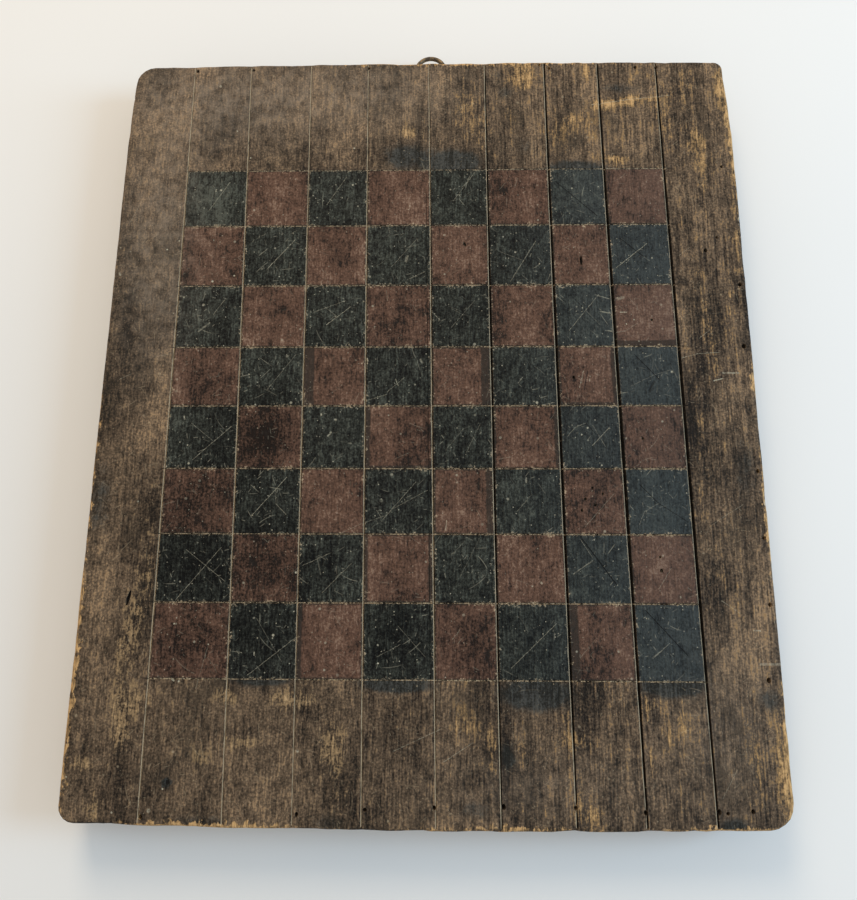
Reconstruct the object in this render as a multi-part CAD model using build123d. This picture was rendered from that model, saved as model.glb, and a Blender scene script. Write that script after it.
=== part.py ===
from build123d import *
import os

# A hand-made checkerboard: one wide plank, marked out with scribed lines and painted.
# All sizes are in mm. The plank lies face up, its hanging end toward +Y.
PLANK_W = 356.0
PLANK_L = 431.0
PLANK_T = 19.0

# The ends bow out a little and the sides draw in over the last stretch at the top.
TOP_BOW = 1.6
FOOT_BOW = 2.5
DRAW_LEN = 50.0
DRAW_LEFT = 1.8
DRAW_RIGHT = 2.6
CORNER_TOP_LEFT = 11.0
CORNER_TOP_RIGHT = 5.0
CORNER_FOOT_RIGHT = 12.0
CORNER_FOOT_LEFT = 8.0
EDGE_WEAR = 1.0

# Scribed lines, measured from the middle of the plank: nine up the grain, nine across it.
LINE_X_TOP = (-141.0, -107.0, -70.5, -36.0, 0.5, 34.0, 69.5, 101.3, 136.0)
LINE_X_FOOT = (-138.0, -97.0, -63.0, -29.5, 6.5, 38.0, 74.0, 107.5, 141.0)
LINE_Y = (142.3, 106.5, 69.3, 32.5, -1.5, -36.4, -71.5, -107.0, -145.0)
LONG_WIDE = (1.0, 1.0, 1.0, 1.1, 1.2, 1.6, 1.9, 2.1, 2.0)
LONG_STEEP = 0.85
LONG_ENDS = 0.6
CROSS_WIDE = 0.8
CROSS_STEEP = 0.65
CROSS_PAST = 2.0
# Awl pricks at the ends of the lines, and a few stray ones.
PRICK_R = 0.9
PRICK_DEEP = 2.6
PRICK_TOP = 5.0
PRICK_FOOT = 10.0
PRICK_SIDE = 5.0
STRAY_PRICKS = ((124.0, 210.0), (146.0, -205.5), (158.0, -204.5), (157.0, 90.0), (72.5, 210.0))
PAINT_T = 0.2
PAINT_GAP = 0.15

# Two cleats across the back keep the wide plank flat and carry it on the table.
CLEAT_SHORT = 28.0
CLEAT_IN = 60.5
CLEAT_W = 42.0
CLEAT_T = 12.0
CLEAT_BEVEL = 16.0
CLEAT_END = 6.0
CLEAT_EDGE = 1.5
NAIL_PITCH = 62.0
NAIL_OFF = 9.0
NAIL_L = 26.0
NAIL_HEAD = 5.0
NAIL_HEAD_T = 1.2
NAIL_SUNK = 0.4
NAIL_THICK = 2.6
NAIL_TIP = 1.2
NAIL_PLAY = 0.05

# The hanger: a strip folded round a ring and held to the back with two screws.
RING_R = 8.85
RING_WIRE = 2.6
RING_OUT = 2.2
RING_SIDES = 16
STRAP_T = 1.0
STRAP_EYE = 2.0
STRAP_W = 12.0
STRAP_NECK = 6.0
STRAP_LEN = 28.0
STRAP_FOLD = 19.0
SCREW_AT = (11.8, 23.2)
SCREW_R = 1.5
SCREW_HEAD_R = 3.0
SCREW_HEAD_T = 1.8
SCREW_L = 12.0
SCREW_SLOT = 0.7

HALF_W = PLANK_W / 2
HALF_L = PLANK_L / 2
CLEAT_L = PLANK_W - 2 * CLEAT_SHORT
CLEAT_Y = HALF_L - CLEAT_IN
BACK_Z = CLEAT_T
FACE_Z = BACK_Z + PLANK_T
PIVOT_Y = HALF_L + RING_OUT
PIVOT_Z = BACK_Z - STRAP_T - STRAP_EYE
HANGER_X = 1.0
# The ring stands past the top edge, so the plank moves down to keep the whole part centred.
RING_REACH = RING_OUT + 2 * RING_R + RING_WIRE / 2
SHIFT_Y = -RING_REACH / 2
SCRIBE_LIFT = 0.4
ON_TOP = (Align.CENTER, Align.CENTER, Align.MIN)


def line_x(i, y):
    """Where long line i crosses the height y."""
    t = (y + HALF_L) / PLANK_L
    return LINE_X_FOOT[i] + (LINE_X_TOP[i] - LINE_X_FOOT[i]) * t


def plank_plan():
    """Plan of the plank, with its four corners worn to different rounds."""
    top_left = (-HALF_W + DRAW_LEFT, HALF_L - TOP_BOW)
    top_right = (HALF_W - DRAW_RIGHT, HALF_L - TOP_BOW)
    foot_right = (HALF_W, -HALF_L + FOOT_BOW)
    foot_left = (-HALF_W, -HALF_L + FOOT_BOW)
    draw_left = (-HALF_W, HALF_L - DRAW_LEN)
    draw_right = (HALF_W, HALF_L - DRAW_LEN)
    with BuildSketch() as plan:
        with BuildLine():
            Polyline(foot_left, draw_left, top_left)
            ThreePointArc(top_left, (0, HALF_L), top_right)
            Polyline(top_right, draw_right, foot_right)
            ThreePointArc(foot_right, (0, -HALF_L), foot_left)
        make_face()
        for corner, radius in (
            (top_left, CORNER_TOP_LEFT),
            (top_right, CORNER_TOP_RIGHT),
            (foot_right, CORNER_FOOT_RIGHT),
            (foot_left, CORNER_FOOT_LEFT),
        ):
            fillet(plan.vertices().sort_by_distance(corner)[0], radius)
    return plan.sketch


def scribe(start, end, wide, steep, ends=1.0):
    """V-shaped cutter along one scribed line, widest halfway, its open side above the face."""
    run = Vector(*end) - Vector(*start)
    way = run.normalized()
    across = Vector(0, 0, 1).cross(way)
    vees = []
    for part, size in ((0, ends), (0.5, 1), (1, ends)):
        at = Vector(*start) + run * part
        here = Plane(origin=(at.X, at.Y, FACE_Z), x_dir=across, z_dir=way)
        deep = wide * steep * size
        half = (deep + SCRIBE_LIFT) / (2 * steep)
        vee = Polyline((-half, SCRIBE_LIFT), (half, SCRIBE_LIFT), (0, -deep), close=True)
        vees.append(here * make_face(vee))
    return [loft(vees[:2], ruled=True), loft(vees[1:], ruled=True)]


def prick(x, y):
    """Six-sided mark left by the awl that fixed the end of a line."""
    foot = Pos(x, y, FACE_Z - PRICK_DEEP) * RegularPolygon(PRICK_R / 3, 6)
    mouth = Pos(x, y, FACE_Z + 0.01) * RegularPolygon(PRICK_R, 6)
    return loft([foot, mouth], ruled=True)


def nail_shank(play):
    """Cut nail's shank, thinner one way toward the tip, point up."""
    wide = NAIL_THICK + 2 * play
    length = NAIL_L - NAIL_HEAD_T + play
    foot = Plane.XY * Rectangle(wide, wide)
    tip = Plane.XY.offset(length) * Rectangle(NAIL_TIP + 2 * play, wide)
    return Pos(0, 0, NAIL_SUNK + NAIL_HEAD_T) * loft([foot, tip])


def nail_places():
    """Five nails a cleat, stepped from one side of its middle to the other."""
    places = []
    for side in (1, -1):
        for k in range(-2, 3):
            off = NAIL_OFF if k % 2 else -NAIL_OFF
            places.append((k * NAIL_PITCH, side * CLEAT_Y + off))
    return places


def screw_places():
    """The two screws stand in line on the strap, at these distances from the ring's hinge."""
    return [(HANGER_X, PIVOT_Y - back) for back in SCREW_AT]


def make_board():
    """The plank, with its scribed lines, awl marks, and the holes behind."""
    blank = Pos(0, 0, BACK_Z) * extrude(plank_plan(), amount=PLANK_T)
    rims = blank.edges().filter_by(lambda e: abs(e.center().Z - FACE_Z) < 0.01)
    rims += blank.edges().filter_by(lambda e: abs(e.center().Z - BACK_Z) < 0.01)
    blank = chamfer(rims, EDGE_WEAR)
    cuts = []
    for i, wide in enumerate(LONG_WIDE):
        start = (line_x(i, -HALF_L - 1), -HALF_L - 1)
        end = (line_x(i, HALF_L + 1), HALF_L + 1)
        cuts += scribe(start, end, wide, LONG_STEEP, LONG_ENDS)
        for y in (HALF_L - PRICK_TOP, -HALF_L + PRICK_FOOT):
            cuts.append(prick(line_x(i, y), y))
    for y in LINE_Y:
        start = (line_x(0, y) - CROSS_PAST, y)
        end = (line_x(8, y) + CROSS_PAST, y)
        cuts += scribe(start, end, CROSS_WIDE, CROSS_STEEP)
        cuts.append(prick(HALF_W - PRICK_SIDE, y))
    cuts += [prick(x, y) for x, y in STRAY_PRICKS]
    for x, y in nail_places():
        cuts.append(Pos(x, y, 0) * nail_shank(NAIL_PLAY))
    for x, y in screw_places():
        cuts.append(Pos(x, y, BACK_Z) * Cylinder(SCREW_R, SCREW_L, align=ON_TOP))
    return blank - cuts


def paint_patch(col, row):
    """One painted square, kept just clear of the scribed lines round it."""
    top = LINE_Y[row] - CROSS_WIDE / 2 - PAINT_GAP
    foot = LINE_Y[row + 1] + CROSS_WIDE / 2 + PAINT_GAP
    left = LONG_WIDE[col] / 2 + PAINT_GAP
    right = LONG_WIDE[col + 1] / 2 + PAINT_GAP
    corners = (
        (line_x(col, top) + left, top),
        (line_x(col + 1, top) - right, top),
        (line_x(col + 1, foot) - right, foot),
        (line_x(col, foot) + left, foot),
    )
    patch = make_face(Polyline(*corners, close=True))
    return extrude(Pos(0, 0, FACE_Z) * patch, amount=PAINT_T, dir=(0, 0, 1))


def paint_squares(first):
    """Every other square; first is 0 for the colour of the top left square, 1 for the other."""
    return [paint_patch(c, r) for r in range(8) for c in range(8) if (r + c) % 2 == first]


def make_cleat(side):
    """Batten across the back, its ends bevelled and its long edges eased."""
    half = CLEAT_L / 2
    side_view = Polyline(
        (-half, CLEAT_T), (half, CLEAT_T), (half, CLEAT_T - CLEAT_END),
        (half - CLEAT_BEVEL, 0), (-half + CLEAT_BEVEL, 0), (-half, CLEAT_T - CLEAT_END), close=True,
    )
    bar = extrude(Plane.XZ * make_face(side_view), amount=CLEAT_W / 2, both=True)
    long_edges = bar.edges().filter_by(Axis.X).sort_by(Axis.Z)[:2]
    bar = Pos(0, side * CLEAT_Y, 0) * chamfer(long_edges, CLEAT_EDGE)
    cuts = []
    for x, y in nail_places():
        if y * side > 0:
            wide = NAIL_HEAD + 2 * NAIL_PLAY
            seat = Box(wide, wide, 2 * (NAIL_SUNK + NAIL_HEAD_T))
            cuts.append(Pos(x, y, 0) * seat)
            cuts.append(Pos(x, y, 0) * nail_shank(NAIL_PLAY))
    return bar - cuts


def make_nail():
    """Cut nail with a low four-sided head, driven up from below."""
    low = Plane.XY.offset(NAIL_SUNK) * Rectangle(NAIL_HEAD - 1.4, NAIL_HEAD - 1.4)
    mid = Plane.XY.offset(NAIL_SUNK + NAIL_HEAD_T / 2) * Rectangle(NAIL_HEAD, NAIL_HEAD)
    top = Plane.XY.offset(NAIL_SUNK + NAIL_HEAD_T) * Rectangle(NAIL_HEAD, NAIL_HEAD)
    head = loft([low, mid], ruled=True) + loft([mid, top], ruled=True)
    return head + nail_shank(0)


def make_strap():
    """Strip folded round the ring, pinched flat behind it and cut to a rounded tail."""
    eye_out = STRAP_EYE + STRAP_T
    pinch = PIVOT_Y - 2.1 * eye_out
    tail = PIVOT_Y - STRAP_LEN
    fold = PIVOT_Y - STRAP_FOLD
    eye = (PIVOT_Y, PIVOT_Z)
    flat = Polyline((tail, BACK_Z), (pinch, BACK_Z), (pinch, BACK_Z - 2 * STRAP_T),
                    (fold, BACK_Z - 2 * STRAP_T), (fold, BACK_Z - STRAP_T),
                    (tail, BACK_Z - STRAP_T), close=True)
    meet = Line((pinch, BACK_Z), (pinch, BACK_Z - 2 * STRAP_T))
    part = Line((pinch + 1.6, BACK_Z - STRAP_T), (pinch + 1.6, BACK_Z - STRAP_T - 0.05))
    drop = make_hull((Pos(*eye) * Circle(eye_out)).edges() + [meet])
    hole = make_hull((Pos(*eye) * Circle(STRAP_EYE)).edges() + [part])
    side_view = make_face(flat) + drop - hole
    strip = extrude(Plane.YZ * side_view, amount=STRAP_W / 2, both=True)
    neck = STRAP_NECK / 2
    half = STRAP_W / 2
    with BuildSketch() as plan:
        with BuildLine():
            Polyline((-neck, PIVOT_Y + eye_out + 1), (-neck, pinch), (-half, pinch - 4), (-half, tail + half))
            ThreePointArc((-half, tail + half), (0, tail), (half, tail + half))
            Polyline((half, tail + half), (half, pinch - 4), (neck, pinch), (neck, PIVOT_Y + eye_out + 1))
            Line((neck, PIVOT_Y + eye_out + 1), (-neck, PIVOT_Y + eye_out + 1))
        make_face()
    strip = strip & extrude(plan.sketch, amount=BACK_Z)
    holes = [Pos(0, y, BACK_Z) * Cylinder(SCREW_R, 8 * STRAP_T) for _, y in screw_places()]
    return Pos(HANGER_X, 0, 0) * (strip - holes)


def make_ring():
    """Wire ring, standing out past the top edge."""
    wire = Pos(RING_R, 0) * RegularPolygon(RING_WIRE / 2, RING_SIDES)
    ring = revolve(Plane.XZ * wire, Axis.Z)
    return Pos(HANGER_X, PIVOT_Y + RING_R, PIVOT_Z) * ring


def make_screw(y):
    """Round-headed slotted screw, head down against the strap."""
    layers = 2 if PIVOT_Y - y < STRAP_FOLD else 1
    r, t = SCREW_HEAD_R, SCREW_HEAD_T
    length = SCREW_L + layers * STRAP_T
    side = Polyline((0, 0), (r, 0), (0.92 * r, -0.45 * t), (0.6 * r, -0.85 * t), (0, -t), close=True)
    head = revolve(Plane.XZ * make_face(side), Axis.Z)
    head -= Pos(0, 0, -t) * Box(2 * r + 1, SCREW_SLOT, t)
    shank = Cylinder(SCREW_R, length, align=ON_TOP)
    return Pos(HANGER_X, y, BACK_Z - layers * STRAP_T) * (head + shank)


def save(shape, node):
    """Write one node, moved so that the whole part is centred on the origin."""
    pieces = shape if isinstance(shape, list) else [shape]
    moved = [Pos(0, SHIFT_Y, 0) * piece for piece in pieces]
    out = moved[0] if len(moved) == 1 else Compound(children=moved)
    export_step(out, f"parts/{node}.step")


os.makedirs("parts", exist_ok=True)
save(make_board(), "board")
save(paint_squares(0), "black_squares")
save(paint_squares(1), "red_squares")
save(make_cleat(1), "top_cleat")
save(make_cleat(-1), "bottom_cleat")
save([Pos(x, y, 0) * make_nail() for x, y in nail_places()], "cleat_nails")
save(make_strap(), "hanger_strap")
save([make_screw(y) for _, y in screw_places()], "hanger_screws")
save(make_ring(), "hanger_ring")
print("pivot", HANGER_X, PIVOT_Y + SHIFT_Y, PIVOT_Z, "face", FACE_Z, "shift", SHIFT_Y)
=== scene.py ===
import math
import bpy
from bpy.props import FloatProperty, FloatVectorProperty, IntProperty, PointerProperty
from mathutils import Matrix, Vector, noise


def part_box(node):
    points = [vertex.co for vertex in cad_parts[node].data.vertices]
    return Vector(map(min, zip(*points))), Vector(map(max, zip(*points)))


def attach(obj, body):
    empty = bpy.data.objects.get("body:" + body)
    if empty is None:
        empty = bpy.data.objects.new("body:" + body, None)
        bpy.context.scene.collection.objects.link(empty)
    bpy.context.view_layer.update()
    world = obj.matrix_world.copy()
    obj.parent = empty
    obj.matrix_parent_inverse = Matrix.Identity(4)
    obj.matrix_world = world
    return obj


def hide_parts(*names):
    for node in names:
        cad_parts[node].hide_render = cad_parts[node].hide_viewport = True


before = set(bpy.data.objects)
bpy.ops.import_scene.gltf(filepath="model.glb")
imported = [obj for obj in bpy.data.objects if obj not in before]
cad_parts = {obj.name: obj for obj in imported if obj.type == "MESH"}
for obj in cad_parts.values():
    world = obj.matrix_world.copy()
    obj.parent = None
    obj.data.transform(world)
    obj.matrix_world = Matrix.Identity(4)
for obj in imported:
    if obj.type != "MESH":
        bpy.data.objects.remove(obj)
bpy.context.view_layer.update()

bl_info = {
    "name": "Old Checkerboard",
    "version": (1, 0, 0),
    "blender": (4, 5, 0),
    "location": "View3D > Sidebar > Checkerboard",
    "description": "Dresses a scribed and painted plank checkerboard on its packed frame",
    "category": "Object",
}

MM = 0.001
PLANK_LOW, PLANK_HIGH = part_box("board")
MID_Y = (PLANK_LOW.y + PLANK_HIGH.y) / 2
HALF_W = PLANK_HIGH.x
HALF_L = (PLANK_HIGH.y - PLANK_LOW.y) / 2
FACE_Z = PLANK_HIGH.z
BACK_Z = PLANK_LOW.z

# Every list below is in mm from the middle of the plank, x to the right and y toward the ring.
LINES_TOP = (-141.0, -107.0, -70.5, -36.0, 0.5, 34.0, 69.5, 101.3, 136.0)
LINES_FOOT = (-138.0, -97.0, -63.0, -29.5, 6.5, 38.0, 74.0, 107.5, 141.0)
LINES_ACROSS = (142.3, 106.5, 69.3, 32.5, -1.5, -36.4, -71.5, -107.0, -145.0)
LONG_WIDE = (1.0, 1.0, 1.0, 1.1, 1.2, 1.6, 1.9, 2.1, 2.0)
# The middle line was scribed twice: how far the second run lies to its left, its half width and depth.
SECOND_RUN = 2.3
SECOND_HALF = 0.25
SECOND_DEPTH = 0.35
# The materials read this many marks for each face of the mesh.
MARK_SLOTS = 3
NO_MARK = [9.0, 0.0, 0.0]
# Metres: a vertex this near the face counts as on it; the paint stops this far from a cross line.
ON_FACE = 2e-5
PAINT_EDGE = 0.00045
# The dark inside a cut or a hole.
SHADOWED = (0.006, 0.005, 0.004)
# Colours that no setting changes: the near-black in a cross line, and the painted shade of the dark cuts in
# the wood and in the paint.
CROSS_LINE_DARK = (0.010, 0.008, 0.006)
WOOD_CUT_SHADE = (0.006, 0.005, 0.005)
PAINT_CUT_SHADE = (0.004, 0.004, 0.004)
# Pits in the red, wood where the red stops short of a line, painted shade in the second run of the middle
# line, red in cool light.
RED_PIT = (0.014, 0.010, 0.008)
SHORT_STRIP = (0.024, 0.020, 0.016)
SECOND_RUN_SHADE = (0.02, 0.02, 0.017)
COOL_RED = (0.095, 0.066, 0.054)
# Growth rings in the end grain: how far the pith lies below the table, and radians for each metre from it.
PITH_DEPTH = 0.11
RING_TURNS = 2700.0
# Saw marks on the back: radians for each metre along the grain and across it.
SAW_TURNS = (1300.0, 90.0)
# The room's light and the two lamps: name, place, width, length, power and tint.
ROOM_TINT = (1.0, 0.965, 0.905, 1.0)
ROOM_LEVEL = 0.59
LAMPS = (
    ("window", (1.40, 0.0, 0.87), 0.52, 0.90, 15.5, (0.45, 0.725, 1.0)),
    ("lamp", (-0.30, 1.20, 1.20), 0.60, 0.85, 12.4, (1.0, 0.805, 0.58)),
)
# The camera that a perspective fit of the corners and the lines gives, turned in the order Z, X, Y.
CAMERA_AT = (0.012414, -0.151332, 0.475176)
CAMERA_TURN = (0.2520514, 0.0241619, 0.006468)
CAMERA_LENS = 34.4

# Awl holes: x, y and the radius of the mouth.
AWL_HOLES = (
    (-136.9, -209.8, 1.22), (-61.0, -208.0, 1.08), (-28.0, -205.6, 1.22), (5.4, -204.4, 1.22),
    (39.0, -203.6, 1.22), (73.6, -203.8, 1.35), (107.0, -205.7, 1.35), (142.0, -205.0, 1.22),
    (146.0, -205.7, 1.08), (158.0, -204.7, 1.22), (-139.6, 210.8, 1.08), (-105.5, 211.0, 1.08),
    (-35.7, 211.8, 1.08), (66.7, 213.0, 0.94), (72.5, 210.5, 1.22), (124.0, 210.6, 1.22),
    (136.4, 210.5, 1.08), (170.0, 143.0, 1.08), (157.0, 90.0, 1.35), (164.0, 98.0, 0.81),
    (174.5, 69.0, 1.49), (173.6, 32.4, 1.49), (175.0, -37.6, 1.08), (175.0, -73.0, 1.22),
    (175.0, -107.0, 1.22), (171.0, -144.0, 1.35),
)
# Gouges in the face: x, y, half width, half length, turn in degrees, depth.
GOUGES = (
    (87.0, 84.0, 0.8, 2.99, 0.0, 1.43), (80.3, 14.5, 0.8, 1.03, 20.0, 1.1),
    (21.5, 94.5, 0.92, 1.72, 25.0, 0.99), (-152.5, -105.0, 1.03, 4.37, -12.0, 1.54),
    (121.5, -90.0, 0.92, 1.03, 0.0, 1.1), (121.2, -83.0, 0.69, 0.8, 0.0, 0.88),
    (82.0, -58.8, 0.69, 0.92, 0.0, 0.88), (84.0, -52.7, 0.92, 0.8, 0.0, 0.88),
    (88.0, -46.7, 0.8, 0.69, 0.0, 0.77), (89.0, -56.0, 0.92, 0.8, 0.0, 0.88),
    (124.5, 48.0, 0.92, 0.8, 30.0, 0.88), (-125.0, -194.0, 1.84, 2.3, 10.0, 0.66),
    (93.2, -50.0, 0.69, 0.92, 0.0, 0.77), (115.8, -19.8, 0.69, 1.38, 30.0, 0.66),
)
# Chips out of the edges: x, y, radius along the edge, and how far the chip reaches in and down.
EDGE_CHIPS = (
    (-132.0, -215.0, 5.0, 1.0, 1.2), (-118.0, -215.5, 6.0, 0.8, 1.5), (-100.0, -215.8, 7.0, 1.0, 1.4),
    (-84.0, -216.0, 5.0, 0.8, 1.0), (-30.0, -216.6, 4.0, 0.7, 0.9), (60.0, -216.2, 5.0, 0.7, 0.8),
    (118.0, -215.0, 5.0, 0.9, 1.0), (-177.6, 192.0, 3.0, 1.0, 1.4), (178.4, 14.0, 4.0, 0.9, 1.2),
    (178.4, -52.0, 7.0, 0.8, 1.2), (178.4, -118.0, 6.0, 0.8, 1.0), (-178.4, -80.0, 5.0, 0.6, 0.8),
    (-178.4, 8.0, 6.0, 0.6, 0.8), (-90.0, 216.0, 5.0, 0.7, 0.8), (96.0, 216.0, 6.0, 0.8, 0.9),
    (178.4, 108.0, 6.0, 0.6, 0.8), (-178.4, -150.0, 7.0, 0.7, 1.0),
)
# Scratches in the face: x and y of both ends, width, and strength, which is less than 0 for a cut painted
# dark, as painted shade inside it.
SCRATCHES = (
    (-90.5, 79.6, -75.5, 97.5, 0.55, 0.75), (-95.5, 88.1, -90.5, 92.5, 0.9, 0.3),
    (-86.8, 83.1, -83.6, 77.5, 0.4, 0.3), (-119.3, 51.9, -112.8, 61.9, 0.5, 0.5),
    (-126.8, 41.9, -121.1, 46.9, 1.6, 0.35), (-63.0, 53.1, -45.5, 60.0, 0.45, 0.45),
    (-55.5, 45.6, -42.4, 56.3, 0.55, 0.75), (-56.8, 56.3, -49.3, 50.0, 0.45, 0.4),
    (-86.8, 7.5, -71.8, 28.1, 0.45, 0.4), (-91.8, 26.3, -84.9, 21.3, 0.5, 0.4),
    (-124.9, -31.9, -104.9, -13.1, 0.5, 0.6), (-126.8, -11.3, -114.3, -21.3, 0.4, 0.4),
    (-131.0, -7.5, -130.6, -9.0, 0.7, 0.5), (-52.4, -18.5, -50.8, -16.5, 0.9, 0.4),
    (-61.8, -35.0, -58.6, -30.6, 0.5, 0.4), (-174.6, 77.5, -174.2, 76.5, 1.1, 0.45),
    (-168.6, 13.8, -162.4, 17.0, 0.5, 0.4), (-149.9, 26.9, -141.1, 28.8, 0.5, 0.3),
    (-19.9, 80.6, -6.1, 97.5, 0.5, 0.4), (-11.1, 72.5, -1.1, 77.5, 0.45, 0.5),
    (-11.8, 84.0, -11.2, 87.0, 1.5, 0.25), (47.0, 71.3, 61.4, 95.6, 0.7, 0.4),
    (40.8, 90.0, 53.9, 84.4, 0.45, 0.3), (13.9, 43.8, 27.0, 60.0, 0.45, 0.28),
    (2.6, 53.8, 7.6, 48.1, 0.5, 0.6), (14.0, 55.0, 21.0, 51.0, 0.45, 0.2),
    (78.9, 41.9, 95.8, 63.1, 0.5, 0.5), (80.1, 63.1, 88.3, 53.8, 0.6, -0.5),
    (88.3, 53.8, 96.0, 45.0, 0.4, 0.3), (94.0, 63.0, 101.8, 60.5, 0.8, 0.4),
    (96.4, 53.1, 102.0, 51.9, 1.1, 0.5), (98.9, 41.6, 103.0, 41.3, 0.7, 0.75),
    (-32.4, 1.3, -21.1, 5.0, 0.45, 0.55), (-21.1, 6.3, -11.8, 14.4, 0.45, 0.4),
    (-16.5, 13.5, -15.0, 9.8, 0.5, 0.45), (-3.0, 25.0, -2.0, 23.0, 1.1, 0.3),
    (50.1, 11.3, 52.6, 14.6, 0.8, 0.45), (37.0, 5.0, 41.0, 8.0, 0.5, 0.25),
    (63.3, -1.0, 69.5, 0.2, 0.7, 0.5), (10.8, -26.3, 20.8, -14.0, 0.45, 0.25),
    (22.0, -27.5, 29.5, -11.3, 0.45, 0.25), (75.8, -18.8, 80.1, -13.8, 0.5, 0.4),
    (80.1, -13.8, 85.8, -11.3, 0.5, 0.4), (85.8, -11.3, 91.0, -17.5, 0.6, -0.6),
    (88.9, -23.8, 98.3, -13.8, 0.6, 0.5), (89.5, -12.5, 95.8, -24.4, 0.45, 0.35),
    (83.3, 8.8, 85.8, 18.1, 0.9, 0.4), (85.8, 7.5, 88.0, 18.1, 1.1, -0.7),
    (88.9, 12.5, 88.9, 13.5, 0.7, 0.5), (-22.4, 66.0, -21.8, 60.0, 0.5, 0.35),
    (-16.5, -31.3, -8.0, -27.5, 0.4, 0.3), (55.0, -9.0, 62.5, -10.2, 0.9, -0.5),
    (38.9, -31.3, 45.8, -30.0, 0.5, 0.35), (106.4, 79.4, 124.5, 94.4, 0.55, 0.6),
    (109.5, 97.5, 122.0, 86.3, 0.8, -0.7), (122.0, 86.3, 125.5, 83.5, 0.5, 0.3),
    (106.0, 60.5, 109.5, 61.5, 1.8, 0.25), (107.6, 52.5, 110.8, 52.5, 0.7, 0.55),
    (104.5, 40.6, 109.5, 41.3, 0.5, 0.5), (109.5, 41.3, 117.0, 46.3, 0.4, 0.4),
    (113.9, 27.5, 127.0, 12.5, 0.7, -0.7), (110.8, 9.4, 123.3, 15.6, 0.4, 0.3),
    (123.3, 15.6, 133.3, 18.8, 0.4, 0.3), (120.6, 7.0, 123.4, 12.0, 2.0, -0.55),
    (139.3, 25.6, 148.3, 28.1, 0.5, 0.6), (148.3, 28.1, 160.1, 28.8, 0.5, 0.55),
    (149.5, 36.9, 155.8, 41.9, 0.5, 0.4), (155.8, 12.5, 160.8, 13.8, 0.9, 0.9),
    (160.8, 16.9, 169.5, 16.9, 1.6, 0.5), (142.0, 86.9, 148.3, 91.9, 0.5, 0.4),
    (-91.1, -61.9, -73.6, -41.3, 0.5, 0.7), (-79.3, -47.5, -78.6, -55.6, 0.45, 0.5),
    (-78.6, -55.6, -73.0, -61.3, 0.5, 0.5), (-128.0, -106.0, -106.1, -78.8, 0.5, 0.5),
    (-124.3, -80.0, -103.0, -96.3, 0.5, 0.4), (-61.8, -87.5, -48.6, -81.3, 0.45, 0.5),
    (-52.4, -101.9, -38.0, -86.9, 0.45, 0.5), (-55.5, -85.0, -53.6, -92.5, 1.1, 0.2),
    (-88.6, -143.1, -64.3, -123.8, 0.5, 0.5), (-85.5, -115.0, -71.8, -136.3, 0.45, 0.25),
    (-85.8, -131.8, -85.8, -133.2, 0.6, 0.5), (-109.3, -128.0, -114.3, -150.0, 0.4, 0.35),
    (-126.5, -145.2, -125.5, -146.0, 0.9, 0.5), (-23.0, -65.0, -4.9, -43.8, 0.5, 0.4),
    (-18.0, -58.8, 1.4, -48.1, 0.45, 0.35), (-43.6, -71.0, -33.0, -66.0, 0.5, 0.3),
    (-33.0, -66.0, -20.0, -61.5, 0.45, 0.3), (48.3, -59.4, 55.8, -50.6, 0.45, 0.3),
    (53.3, -41.5, 53.3, -43.8, 0.9, 0.3), (10.8, -69.4, 11.4, -64.4, 0.9, 0.5),
    (83.3, -67.5, 99.5, -49.4, 0.5, 0.3), (18.3, -93.8, 28.3, -73.8, 0.4, 0.2),
    (14.0, -82.0, 20.0, -76.0, 0.8, 0.2), (81.4, -73.8, 98.3, -97.5, 0.9, -0.9),
    (80.7, -74.2, 86.5, -83.5, 0.4, 0.45), (76.4, -91.9, 86.4, -85.0, 0.8, 0.4),
    (-23.6, -133.8, -11.8, -127.5, 0.45, 0.3), (-13.0, -118.8, 0.8, -133.8, 0.45, 0.25),
    (43.9, -138.8, 67.0, -116.9, 0.5, 0.5), (14.5, -125.0, 18.3, -120.0, 0.5, 0.35),
    (78.3, -133.8, 87.0, -123.8, 0.45, 0.25), (-14.9, -178.8, 8.9, -168.1, 0.5, 0.45),
    (9.5, -183.8, 24.5, -174.4, 0.5, 0.5), (112.6, -45.0, 122.0, -55.0, 0.7, -0.7),
    (122.0, -55.0, 135.8, -64.4, 0.6, -0.6), (111.4, -66.3, 114.5, -59.5, 0.5, 0.3),
    (114.5, -59.5, 122.0, -55.0, 0.5, 0.3), (119.5, -99.4, 126.4, -88.8, 0.5, 0.3),
    (112.0, -110.0, 132.0, -132.5, 0.7, -0.8), (114.5, -133.8, 123.3, -126.3, 0.5, 0.35),
    (148.9, -66.3, 156.0, -61.5, 0.5, 0.3), (156.0, -61.5, 165.8, -55.6, 0.5, 0.3),
    (150.8, -105.0, 159.5, -111.3, 0.6, 0.45), (167.6, -136.3, 177.0, -136.3, 2.0, 0.35),
    (165.8, -119.8, 169.0, -120.0, 0.6, 0.5), (-126.0, 117.0, -115.0, 135.0, 0.5, 0.5),
    (-58.0, 120.0, -47.0, 138.0, 0.5, 0.5), (15.0, 122.0, 28.0, 141.0, 0.5, 0.4),
    (74.0, 134.0, 97.0, 112.0, 0.8, -0.7), (97.0, 185.0, 120.0, 188.5, 0.6, 0.6),
    (120.0, 188.5, 143.0, 191.0, 0.6, 0.55), (144.0, -199.0, 152.0, -186.0, 0.5, 0.4),
    (-172.0, 108.0, -165.0, 126.0, 0.5, 0.3),
)
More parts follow.
